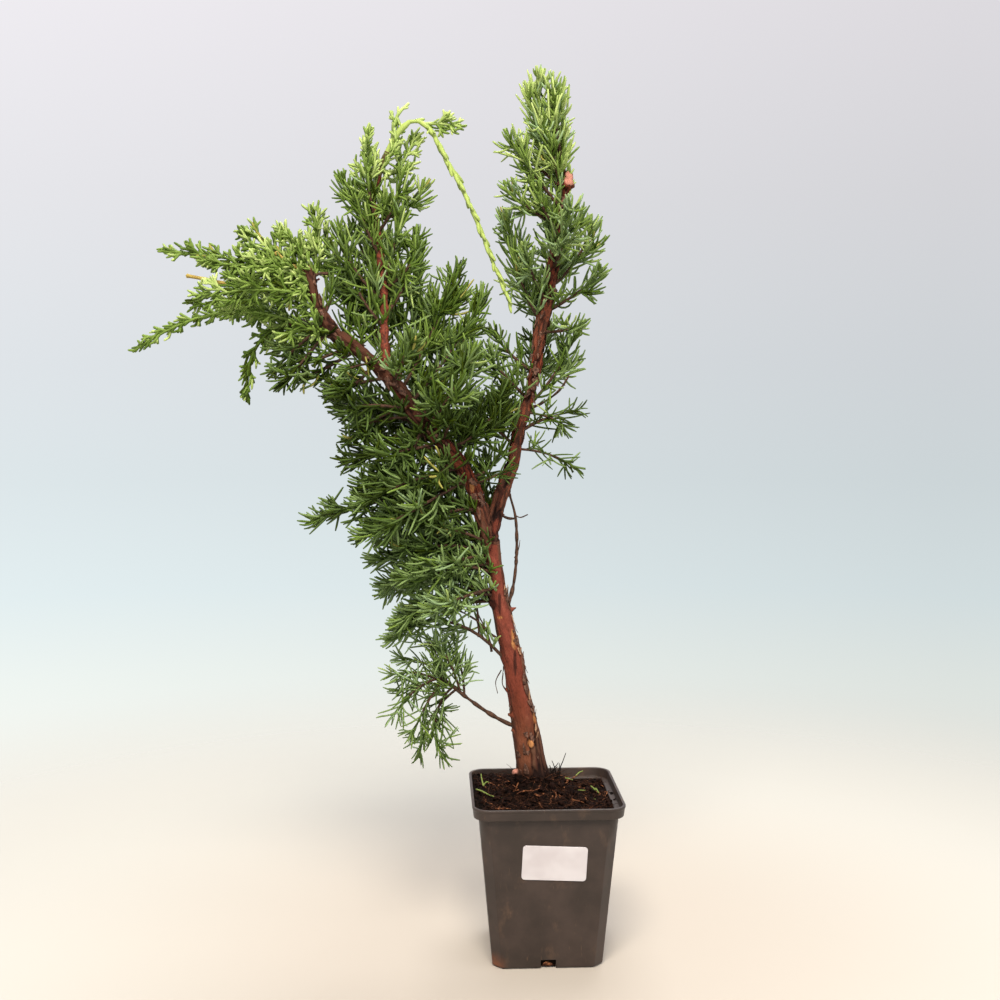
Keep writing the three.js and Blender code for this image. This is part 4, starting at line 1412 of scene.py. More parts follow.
class Growth:
    """Grows one mass by the rule of the part's source, and on to finer twigs and leaves."""

    SPINDLE = (0.13, 0.89)
    LAST_AT = 0.86
    SPACING = 11.5
    OPENNESS = (66.0, 30.0)
    REACH = (0.75, 1.0)
    JITTER = 0.6
    LIFT = 0.12
    SHORTEST = 8.0
    STATION_STEP = 4.0
    FOOT = 0.8
    BARE_PART = 0.4
    PAST_TIP = 4.0
    TWIGLET_LIMIT = 0.72
    PAST_BOUND = 0.12
    # How light a mass's greens are by the height of its tip: partly their own tone, and partly painted light
    # and shade for how lit each height of the crown is
    HEIGHTS = (120, 215, 255, 300, 345, 365, 420, 520)
    LIGHTNESS = (2.35, 2.75, 1.75, 1.15, 1.15, 1.85, 2.1, 3.1)
    RIGHT_LIGHT = 0.25
    # MOST_OUT and EVEN_AT bound the painted light and shade by a leaf's place in its mass: darker inside
    # EVEN_AT, lighter out to MOST_OUT
    MOST_OUT = 1.04
    SCALE_LIGHT = 0.9
    EVEN_AT = 0.72
    COOL_HEIGHTS = ((330, 450), (0.85, 0.15))
    RIGHT_TOP = 448.0
    RIGHT_COOL = 0.75
    LEAF_LIGHT = 0.75
    WANDER = 0.3
    OLD_WOOD = (
        ("trunk", 0.6, 1.0, 16.0),
        ("right_limb", 0.0, 0.55, 15.0),
        ("left_limb", 0.0, 0.62, 16.0),
        ("left_limb", 0.62, 0.95, 9.0),
    )
    WOOD_STATIONS = 40
    SHED_FROM = 3.0

    def __init__(self, mass: Mass, seed: int) -> None:
        """Lays the mass's stem.

        Args:
            mass: the mass that grows.
            seed: what its twigs and leaves come from.
        """
        self.mass = mass
        self.seed = seed
        self.kind = KINDS[mass.leaf]
        start = LIMBS[mass.limb].curve.at(mass.at)
        tip = np.array(mass.tip)
        self.control = np.array([[start, mix(start, tip, 0.5) + 2 * np.array(mass.bow), tip]])
        self.stem = Curve(swept(self.control, Curve.STEPS)[0])
        self.stations = self.stem.at(even(math.ceil(self.stem.length / self.STATION_STEP) + 1))
        self.widths = self.spindle(even(len(self.stations)))
        self.light = float(np.interp(tip[2], self.HEIGHTS, self.LIGHTNESS))
        if mass.leaf is Leaf.SCALE:
            self.light += self.SCALE_LIGHT
        if mass.limb == "right_limb":
            self.light += self.RIGHT_LIGHT

    @property
    def cool(self) -> float:
        """The share of the mass's leaves that have the cooler greens: more of them lower down."""
        if self.mass.leaf is Leaf.SCALE:
            return 0.0
        height = self.mass.tip[2]
        if self.mass.limb == "right_limb" and height < self.RIGHT_TOP:
            return self.RIGHT_COOL
        return float(np.interp(height, *self.COOL_HEIGHTS))

    def spindle(self, share: Array) -> Array:
        """The radius of the mass's space at shares of its stem, which stays wide at the foot."""
        round_off = np.sqrt(np.sin(math.pi * mix(*self.SPINDLE, share)))
        return self.mass.girth * np.where(share < 0.5, np.maximum(round_off, self.FOOT), round_off)

    def outness(self, points: Array) -> Array:
        """How far out of the mass's space points are: 0 on its stem, 1 on the outside of its spindle."""
        away = np.linalg.norm(points[:, None] - self.stations[None], axis=2)
        past = (points - self.stem.points[-1]) @ self.stem.ahead(0.99)
        return np.maximum((away / self.widths).min(axis=1), past / self.PAST_TIP)

    def around(self, order: Array, spiral: Array, sway: Array) -> Array:
        """How far round their twig side shoots stand: in a spiral, or on its two sides in a flat spray."""
        if self.kind.flat:
            return np.where(order % 2, 1, -1) * math.pi / 2 + sway
        return spiral

    def clear_of_wood(self, points: Array) -> Array:
        """How many leaves are left: none at the old limbs, and all of them further out.

        Args:
            points: the places of the leaves.

        Returns:
            The share that is left at each place.
        """
        share = np.ones(len(points))
        for name, low, high, reach in self.OLD_WOOD:
            line = LIMBS[name].curve.at(np.linspace(low, high, self.WOOD_STATIONS))
            away = np.linalg.norm(points[:, None] - line[None], axis=2).min(axis=1)
            share = np.minimum(share, ease(self.SHED_FROM, reach, away))
        return share

    def rising(self, start: Array, direction: Array, length: Array) -> Array:
        """The curves of twigs that leave their starts straight and turn a little up."""
        half = direction * (length / 2)[:, None]
        end = start + 2 * half + UP * (self.LIFT * length)[:, None]
        return np.stack((start, start + half, end), axis=1)

    def twigs(self) -> Shoots:
        """The twigs on the stem: the source's own, with finer ones between them."""
        seed, stem = self.seed, self.stem
        first = self.mass.bare * self.BARE_PART
        count = round(stem.length * (self.LAST_AT - first) / self.SPACING)
        order = np.arange(count * self.kind.finer)
        index = order / self.kind.finer
        share = mix(first, self.LAST_AT, (index + self.JITTER * chance(seed, index)) / count)
        openness = np.radians(mix(*self.OPENNESS, share))
        spiral = index * GOLDEN_TURN + chance(seed, index + 100)
        turn = self.around(order, spiral, chance(seed, index + 110, -0.9, 0.9))
        aside = self.spindle(share) * chance(seed, index + 200, *self.REACH) / np.sin(openness)
        onward = (stem.length * (1 - share) - self.SHORTEST) / np.cos(openness)
        length = np.maximum(np.minimum(aside, onward), self.SHORTEST) * self.kind.reach
        control = self.rising(stem.at(share), leaning(stem.ahead(share), turn, openness), length)
        last, tip = stem.at(self.LAST_AT), stem.at(1 - self.PAST_TIP / stem.length)
        control = np.concatenate((control, [[last, mix(last, tip, 0.5), tip]]))
        light = self.light + chance(seed, np.arange(len(control)) + 300, -0.7, 0.7)
        return Shoots(control, self.kind.twig_girth, light)

    def twiglets(self, twigs: Shoots) -> Shoots:
        """The small side twigs of the twigs.

        Args:
            twigs: the twigs that bear them.

        Returns:
            The twiglets, shorter where they would leave the mass's space.
        """
        kind = self.kind
        counts = np.maximum((twigs.lengths * 0.7 / kind.twiglet_spacing).astype(int), 1)
        on, order = numbered(counts)
        seed = self.seed + on
        share = mix(0.22, 0.95, (order + 0.5 * chance(seed, order)) / counts[on])
        spiral = order * GOLDEN_TURN + chance(seed, order + 20, 0, TURN / 3) + on
        turn = self.around(order, spiral, chance(seed, order + 20, -0.7, 0.7))
        openness = kind.twiglet_openness * chance(seed, order + 40, 0.8, 1.2)
        direction = leaning(bezier_ahead(twigs.control[on], share), turn, openness)
        length = chance(seed, order + 60, *kind.twiglet_length) * mix(1.0, 0.6, share)
        start = bezier(twigs.control[on], share)
        for _ in range(2):
            outside = self.outness(start + direction * length[:, None]) > self.TWIGLET_LIMIT
            length = np.where(outside, length * 0.65, length)
        light = twigs.light[on] + chance(seed, order + 80, -0.4, 0.6)
        return Shoots(self.rising(start, direction, length), kind.twiglet_girth, light)

    def leaves(self, shoots: Shoots, bare: float = 0.0, spacing: float = 1.0) -> tuple[Array, Array]:
        """The leaves of a batch of shoots.

        Args:
            shoots: the twigs that bear them.
            bare: the share of each twig, from its foot, that has none.
            spacing: how much further apart than usual they are.

        Returns:
            The curves of the leaves, and how light each is.
        """
        kind = self.kind
        counts = np.maximum((shoots.lengths * (1 - bare) / (kind.spacing * spacing)).astype(int), 2)
        on, order = numbered(counts)
        share = mix(bare, 1.0, (order + chance(on + self.seed, order + 5, 0.2, 0.9)) / counts[on])
        ahead = bezier_ahead(shoots.control[on], share)
        seed = self.seed * 3 + on
        spiral = order * GOLDEN_TURN + on + chance(seed, order + 7, 0, 0.8)
        turn = self.around(order, spiral, chance(seed, order + 7, -1.0, 1.0))
        openness = mix(*kind.openness, share) * chance(seed, order + 9, 0.75, 1.25)
        direction = leaning(ahead, turn, openness)
        length = chance(seed, order + 11, *kind.length) * mix(1.05, 0.7, share)
        start = bezier(shoots.control[on], share)
        for _ in range(3):
            outside = self.outness(start + direction * length[:, None]) > kind.bound
            length = np.where(outside, length * 0.82, length)
        curl = kind.curl * chance(seed, order + 17, -0.4, 1.0)[:, None]
        sways = [chance(seed, order + axis, -self.WANDER, self.WANDER) for axis in (19, 21, 23)]
        rise = UP * chance(seed, order + 13, *kind.rise)[:, None]
        onward = unit(mix(direction, ahead, curl) + np.stack(sways, axis=1) + rise)
        control = bent(start, direction, onward, length)
        out = self.outness(control[:, 2])
        keep = out < kind.bound + self.PAST_BOUND
        keep &= chance(seed, order + 27) < self.clear_of_wood(control[:, 1])
        # Painted light and shade: leaves deep in the mass take darker greens, and those near its outside
        # lighter ones
        painted_shade_and_light = (np.minimum(out, self.MOST_OUT) - self.EVEN_AT) * kind.painted_outer_light
        light = shoots.light[on] + chance(seed, order + 15, -self.LEAF_LIGHT, self.LEAF_LIGHT) + painted_shade_and_light
        return control[keep], light[keep]


@dataclass
class Foliage:
    """All the masses, dressed with their stems, twigs, twiglets and leaves."""

    greens: dict[Green, Material]
    brown: Material
    leaf_sides: int = 4
    leaf_profile: tuple[float, ...] = (0.8, 1.04, 0.95, 0.92, 0.56)
    twig_sides: int = 4
    stem_rings: int = 12
    brown_until: int = 7
    twig_rings: int = 7
    twiglet_rings: int = 5
    most_in_piece: int = 8
    green_share: float = 0.993

    def dealt(self, light: Array, growth: Growth) -> Iterator[tuple[int, Array]]:
        """Deals out a colour to each leaf or twig of a mass by its lightness.

        Args:
            light: the lightness of each.
            growth: the mass that they grow on.

        Yields:
            The number of each colour in use, and which of them have it.
        """
        steps = np.clip(np.round(light), 0, len(LADDER) - 1).astype(int)
        index = np.arange(len(light))
        cool = chance(growth.seed, index * 0.73 + 5) < growth.cool
        yellowed = chance(growth.seed, index * 0.37 + 3) > self.green_share
        numbers = np.where(yellowed, YELLOWED, np.where(cool, LOW_LADDER[steps], LADDER[steps]))
        for number in np.unique(numbers):
            yield int(number), numbers == number

    def add_leaves(self, maker: MeshMaker, control: Array, light: Array, growth: Growth) -> None:
        """Adds leaves as slim rods in their own colours."""
        for colour, chosen in self.dealt(light, growth):
            paths = swept(control[chosen], len(self.leaf_profile))
            girth = growth.kind.girth * chance(colour, np.arange(len(paths)), 0.88, 1.12)
            maker.add_tubes(paths, girth[:, None] * np.array(self.leaf_profile), self.leaf_sides, colour)

    def add_twigs(self, maker: MeshMaker, paths: Array, across: Array, light: Array, growth: Growth) -> None:
        """Adds green twigs in the colours of their leaves."""
        for colour, chosen in self.dealt(light, growth):
            maker.add_tubes(paths[chosen], across[chosen], self.twig_sides, colour)

    def grow(self, group: Sequence[tuple[int, Mass]], name: str) -> None:
        """Grows one group of masses into a piece of twigs and a piece of leaves.

        Args:
            group: the masses, each with its seed.
            name: the group's name.
        """
        twigs, leaves = MeshMaker(), MeshMaker()
        for seed, mass in group:
            growth = Growth(mass, seed)
            stem = Shoots(growth.control, growth.kind.stem, np.array([growth.light]))
            branches = growth.twigs()
            twiglets = growth.twiglets(branches)
            paths, across = stem.tubes(self.stem_rings)
            joint = 0 if mass.leaf is Leaf.SCALE else self.brown_until
            if joint:
                twigs.add_tubes(paths[:, : joint + 1], across[:, : joint + 1], 7)
            self.add_twigs(leaves, paths[:, joint:], across[:, joint:], stem.light, growth)
            self.add_twigs(leaves, *branches.tubes(self.twig_rings), branches.light, growth)
            self.add_twigs(leaves, *twiglets.tubes(self.twiglet_rings), twiglets.light, growth)
            self.add_leaves(leaves, *growth.leaves(stem, mass.bare, 1.2), growth)
            self.add_leaves(leaves, *growth.leaves(branches, 0.15), growth)
            self.add_leaves(leaves, *growth.leaves(twiglets), growth)
        nodes = sorted({mass.node for _, mass in group})
        slot = "pale_foliage" if all(mass.leaf is Leaf.SCALE for _, mass in group) else "foliage"
        present(leaves.piece(f"leaves_{name}", list(self.greens.values())), slot, *nodes)
        if twigs.count:
            present(twigs.piece(f"twigs_{name}", [self.brown]), "twig_bark", *nodes)

    def build(self) -> None:
        """Grows every mass, in groups by limb."""
        seeded = list(enumerate(MASSES + SIDE_SHOOTS, start=1))
        for limb in LIMBS:
            members = [pair for pair in seeded if pair[1].limb == limb]
            pieces = math.ceil(len(members) / self.most_in_piece)
            for number in range(pieces):
                self.grow(members[number::pieces], f"{limb}_{number + 1}")


# Thin shoots and bare twigs


BARE_TWIGS = [
    Limb([(-27, 1.4, 191), (-34.3, -1.3, 196.3), (-41.6, -3.0, 203.9), (-52, -3.6, 210)], (0.8, 0.5)),
    Limb([(-39.8, -2.1, 193.4), (-40.3, -1.0, 203.6), (-41.5, 0.0, 215.6), (-46, 0.2, 226)], (0.8, 0.45)),
    Limb([(-32, -0.4, 184), (-34.8, 1.7, 195.8), (-39.0, 3.9, 204.0), (-43, 5.1, 213)], (0.7, 0.45)),
    Limb([(-32, 0.8, 216.5), (-36.8, 1.8, 218.5), (-40.0, 1.9, 224), (-45, 2.1, 232)], (1.1, 0.6)),
    Limb([(-17.6, 7.6, 266), (-14.5, 7.8, 264.6), (-9.8, 7.5, 266.4)], (0.55, 0.25)),
    Limb([(-18.2, 7.6, 264), (-21.5, 6.8, 264.2), (-26.5, 4.3, 266.5)], (0.8, 0.7)),
    Limb([(-22.5, 1, 159), (-25.5, 0, 164), (-25.2, -0.5, 171)], (0.5, 0.25)),
    Limb([(-26, 4, 172), (-29.5, 3, 165), (-28.4, 2, 158)], (0.35, 0.2)),
    Limb([(-18, 6.5, 240), (-15.6, 6.5, 245), (-14.6, 6.4, 251)], (0.4, 0.2)),
    Limb([(-12, 8, 330), (-3, 4, 333), (8, 0, 341), (14, -2, 350)], (1.0, 0.5)),
    Limb([(-13, 6, 318), (-5, 2, 323), (6, -2, 326)], (0.8, 0.4)),
    Limb([(-137, -12, 405), (-133, -13.6, 408.2), (-127.5, -14, 408.6)], (0.8, 0.9)),
]
# Young yellow twigs that were cut back: one at the far left, one at the crest
YELLOW_TWIGS = [
    Limb([(-186, -5, 403), (-194, -5, 404.6), (-202, -4.5, 406.4), (-209.5, -4, 407.8)], (1.0, 1.35)),
    Limb([(-138, -10, 406), (-143, -8, 411), (-150, -6, 415), (-158, -5, 421)], (1.0, 1.35)),
]


@dataclass
class ThinShoots:
    """The upright shoot, the drooping yellow-green shoot, and the bare twigs of the lower plant."""

    red: Material
    brown: Material
    lime: Material
    ochre: Material
    cut: Material
    knobs: float = 0.32
    knob_step: float = 2.8
    ring_step: float = 1.2
    nub_step: float = 3.1
    nub_length: Pair = (4.6, 7.2)
    nub_profile: tuple[float, ...] = (1.4, 1.4, 1.25, 1.05, 0.6)

    def tube(self, maker: MeshMaker, path: Array, girth: Array, sides: int, finish: int, seed: int) -> None:
        """Adds one knobbly twig.

        Args:
            maker: what gathers it.
            path: the middles of its rings.
            girth: its radius at each ring.
            sides: how many sides it has.
            finish: which finish it has.
            seed: which noise its knobs come from.
        """
        along = np.concatenate(([0.0], np.cumsum(np.linalg.norm(np.diff(path, axis=0), axis=1))))
        bumps = ripple(np.column_stack((along / self.knob_step, along * 0 + seed, along * 0)), seed)
        maker.add_tubes(path[None], (girth * (1 + self.knobs * bumps))[None], sides, finish, foot=True)

    def upright(self) -> None:
        """The upright shoot: red-brown bark that turns yellow-green near its top."""
        maker = MeshMaker()
        for finish, (low, high) in enumerate(((0.0, 0.77), (0.76, 0.86), (0.85, 1.0))):
            self.tube(maker, *LIMBS["upright_shoot"].rings(1.6, low, high), 12, finish, 31)
        piece = maker.piece("upright_bough", [self.red, self.ochre, self.lime])
        present(piece, "bark", "upright_shoot")

    def drooping(self) -> None:
        """The drooping shoot, with pressed scale leaves that end in small nubs."""
        maker = MeshMaker()
        limb = LIMBS["drooping_shoot"]
        path, girth = limb.rings(1.1)
        self.tube(maker, path, girth * 0.9, 8, 0, 37)
        curve = limb.curve
        count = int(curve.length / self.nub_step)
        index = np.arange(count)
        share = mix(0.03, 0.985, index / (count - 1))
        ahead = curve.ahead(share)
        turn = index * math.pi + chance(41, index, -0.7, 0.7)
        direction = leaning(ahead, turn, np.full(count, 0.6))
        length = chance(42, index, *self.nub_length) * np.where(index % 5 == 2, 1.4, 1.0)
        nubs = bent(curve.at(share), direction, unit(direction + ahead * 0.8), length, part=0.55)
        across = np.array(self.nub_profile) * mix(1.0, 0.8, share)[:, None]
        maker.add_tubes(swept(nubs, len(self.nub_profile)), across, 6)
        present(maker.piece("drooping_whip", [self.lime]), "lime_shoot", "drooping_shoot")

    def bare(self) -> None:
        """The low branch, the dead twig and the other leafless twigs."""
        maker = MeshMaker()
        twigs = [(LIMBS[name], 9, 0, len(name)) for name in ("low_branch", "dead_twig")]
        twigs += [(twig, 9, 1, 77) for twig in YELLOW_TWIGS]
        twigs += [(twig, 7, 0, number) for number, twig in enumerate(BARE_TWIGS, start=50)]
        for twig, *settings in twigs:
            self.tube(maker, *twig.rings(self.ring_step), *settings)
        present(maker.piece("bare_twigs", [self.brown, self.cut]), "twig_bark", "low_branch", "dead_twig")

    def build(self) -> None:
        """Builds the thin shoots."""
        self.upright()
        self.drooping()
        self.bare()


# The pot, its label and the soil


@dataclass
class Pot:
    """The square nursery pot, lathed as rings that are pulled out to squares with cut or rounded corners."""

    plastic: Material
    rim_width: float = 90.0
    shoulder_width: float = 82.0
    foot_width: float = 65.5
    height: float = 100.0
    rim_height: float = 7.0
    lip: float = 1.6
    wall: float = 1.2
    floor: float = 1.6
    rim_draft: float = 0.9
    bead_height: float = 1.4
    bead_out: float = 0.4
    bead_slope: float = 0.6
    rim_corner: float = 10.0
    shoulder_corner: float = 6.0
    foot_corner: float = 5.6
    foot_bevel: float = 1.2
    rounding_at: float = 0.8
    notch_width: float = 9.0
    notch_height: float = 5.5
    notch_depth: float = 8.0
    corner_points: int = 9
    edge: float = 0.35
    edge_angle: float = 28.0
    rim_waves: float = 0.35

    @property
    def shoulder(self) -> float:
        """The height of the rim band's lower edge."""
        return self.height - self.rim_height

    def half(self, z: float) -> float:
        """Half the width of the outside at a height below the rim."""
        return float(mix(self.foot_width, self.shoulder_width, z / self.shoulder)) / 2

    def corner(self, z: float) -> float:
        """How far the corner is cut back at a height below the rim."""
        return float(mix(self.foot_corner, self.shoulder_corner, z / self.shoulder))

    def ring(self, half: float, z: float, corner: float, rounding: float) -> Array:
        """One square ring of points, counter-clockwise.

        Args:
            half: half its width.
            z: its height.
            corner: how far each corner is cut back.
            rounding: 0 where the corner is cut straight, 1 where it is round.

        Returns:
            The points, four corners of them.
        """
        share = even(self.corner_points)
        angle = share * math.pi / 2
        cut = min(corner, half)
        arc = np.stack((half - cut + cut * np.cos(angle), half - cut + cut * np.sin(angle)), -1)
        chord = np.stack((half - cut * share, half - cut * (1 - share)), -1)
        flat = mix(chord, arc, rounding)
        beside = np.stack((-flat[:, 1], flat[:, 0]), -1)
        level = np.concatenate((flat, beside, -flat, -beside))
        return np.column_stack((level, np.full(len(level), z)))

    def body_ring(self, z: float, inset: float, rounding: float, half_at: float | None = None) -> Array:
        """One ring of the body's outside, or of its inside with an inset."""
        at = z if half_at is None else half_at
        return self.ring(self.half(at) - inset, z, self.corner(at) - inset / 2, rounding)

    def rings(self) -> Array:
        """Every ring from the middle of the underside, up the outside and down the inside to the floor."""
        shoulder, rim = self.shoulder, self.rim_width / 2
        bead = self.height - self.bead_height
        shelf = shoulder + self.wall
        turning = [shoulder * mix(self.rounding_at, 1.0, step / 4) for step in range(1, 4)]
        outside = [self.body_ring(z, 0, i / 4) for i, z in enumerate(turning, start=1)]
        inside = [self.body_ring(z, self.wall, i / 4) for i, z in enumerate(turning, start=1)]
        return np.array([
            self.ring(0.5, 0, 0.2, 0),
            self.ring(self.half(0) - self.foot_bevel, 0, self.foot_corner - self.foot_bevel / 2, 0),
            self.body_ring(self.foot_bevel, 0, 0),
            self.body_ring(shoulder * self.rounding_at, 0, 0),
            *outside,
            self.body_ring(shoulder, 0, 1),
            self.ring(rim - self.rim_draft, shoulder, self.rim_corner, 1),
            self.ring(rim - self.bead_out, bead - self.bead_slope, self.rim_corner, 1),
            self.ring(rim, bead, self.rim_corner, 1),
            self.ring(rim, self.height, self.rim_corner, 1),
            self.ring(rim - self.lip, self.height, self.rim_corner - 1, 1),
            self.ring(rim - self.lip - self.bead_out, shelf, self.rim_corner - 1, 1),
            self.body_ring(shelf, self.wall, 1, shoulder),
            *reversed(inside),
            self.body_ring(shoulder * self.rounding_at, self.wall, 0),
            self.body_ring(self.floor, self.wall, 0),
            self.ring(0.5, self.floor, 0.2, 0),
        ])

    def build(self) -> None:
        """Builds the pot, with a notch in the middle of each foot edge and a faintly wavy rim."""
        rings = self.rings()
        top = rings[..., 2] > self.height - self.bead_height - 1
        waves = self.rim_waves * ripple(rings.reshape(-1, 3) / (17, 17, 60), 27).reshape(top.shape)
        rings[..., 2] += np.where(top, waves - self.rim_waves, 0)
        maker = MeshMaker()
        ends = np.array([[0, 0, self.floor], [0, 0, 0]])
        maker.add(np.vstack((rings.reshape(-1, 3), ends)), skin(len(rings), rings.shape[1], True))
        pot = maker.piece("nursery_pot", [self.plastic])
        wide, deep, tall = self.notch_width / 2, self.notch_depth / 2, self.notch_height
        foot = self.foot_width / 2
        for turn in range(4):
            cut_with(pot, block((-wide, -deep - foot, -tall), (wide, deep - foot, tall), turn * math.pi / 2))
        bevel = pot.modifiers.new("soft_edges", "BEVEL")
        bevel.width = self.edge * METRE
        bevel.segments = 2
        bevel.limit_method = "ANGLE"
        bevel.angle_limit = math.radians(self.edge_angle)
        pot.modifiers.new("even_shading", "WEIGHTED_NORMAL")
        settle(pot)
        present(pot, "pot_plastic", "pot")


@dataclass
class Label:
    """The blank sticker on the pot's front, which leans with it."""

    paper: Material
    pot: Pot
    width: float = 38.0
    height: float = 21.0
    thickness: float = 0.55
    soft: Pair = (0.12, 0.15)
    corner: float = 2.0
    x: float = 3.0
    z: float = 66.0
    turn: float = -2.7
    corner_points: int = 8

    def outline(self, inset: float) -> Array:
        """The rounded outline, counter-clockwise.

        Args:
            inset: how far inside the label's edge it lies.

        Returns:
            Its points.
        """
        r = self.corner
        spots = []
        for quarter, (sx, sy) in enumerate(((1, -1), (1, 1), (-1, 1), (-1, -1))):
            angle = (even(self.corner_points) + quarter - 1) * math.pi / 2
            middle = (sx * (self.width / 2 - r), sy * (self.height / 2 - r))
            spots.append(np.array(middle) + (r - inset) * np.stack((np.cos(angle), np.sin(angle)), -1))
        return np.concatenate(spots)

    def build(self) -> None:
        """Builds the label as a thin slab with soft edges, laid on the pot's face."""
        layers = ((0.0, 0.0), (0.0, self.thickness - self.soft[1]), (self.soft[0], self.thickness))
        rings = np.array([np.column_stack((self.outline(inset), np.full(4 * self.corner_points, high)))
                          for inset, high in layers])
        flat = np.vstack((rings.reshape(-1, 3), [0, 0, self.thickness], [0, 0, 0]))
        across, up, out = spun(flat, math.radians(self.turn)).T
        lean = math.atan2((self.pot.shoulder_width - self.pot.foot_width) / 2, self.pot.shoulder)
        cos, sin = math.cos(math.pi / 2 + lean), math.sin(math.pi / 2 + lean)
        y = up * cos - out * sin - self.pot.half(self.z)
        placed = np.column_stack((across + self.x, y, up * sin + out * cos + self.z))
        maker = MeshMaker()
        maker.add(placed, skin(len(rings), rings.shape[1], True))
        label = maker.piece("blank_label", [self.paper])
        label.data.set_sharp_from_angle(angle=math.radians(35))
        present(label, "label", "pot_label")


# Green stalks that lie on the soil or stick out of it
GREEN_STALKS = [
    [(-41.4, 2, 98.6), (-38.5, -1.5, 98.8), (-35.5, -5.5, 98.2), (-30.5, -10.5, 97.6), (-27.0, -11.5, 98.4)],
    [(-32.5, -9.0, 98.0), (-29.5, -13.5, 98.0), (-26.5, -15.0, 98.6)],
    [(-36.5, 12, 97.0), (-37.5, 18, 100.5), (-37.8, 22, 102.5)],
    [(-36.8, 14, 97.5), (-34.5, 15, 99.5), (-33.0, 15, 99.0)],
    [(14.5, 24, 98.6), (17.0, 22, 98.9), (19.5, 20.5, 98.4)],
    [(22.5, 30, 98.2), (25.0, 33, 99.6), (27.5, 35, 100.0)],
    [(31.0, 8, 96.0), (32.2, 3.5, 97.6), (33.2, -1.5, 96.4)],
    [(32.0, 4, 96.6), (30.0, 5.0, 98.2), (29.2, 6.0, 98.8)],
]
TALL_ROOTLETS = np.array([[(2, 4, 99), (9, 4, 106), (13.5, 4, 120)], [(1, 4, 101), (4, 4, 108), (9, 4, 114)]])
# The bark chip that shows through the front notch
BEHIND_NOTCH = Limb(
    [(-4.2, -30.4, 2.0), (-1.5, -30.8, 2.9), (1.5, -30.6, 2.4), (4.0, -30.5, 1.9)], (0.7, 1.5, 1.3, 0.6)
)


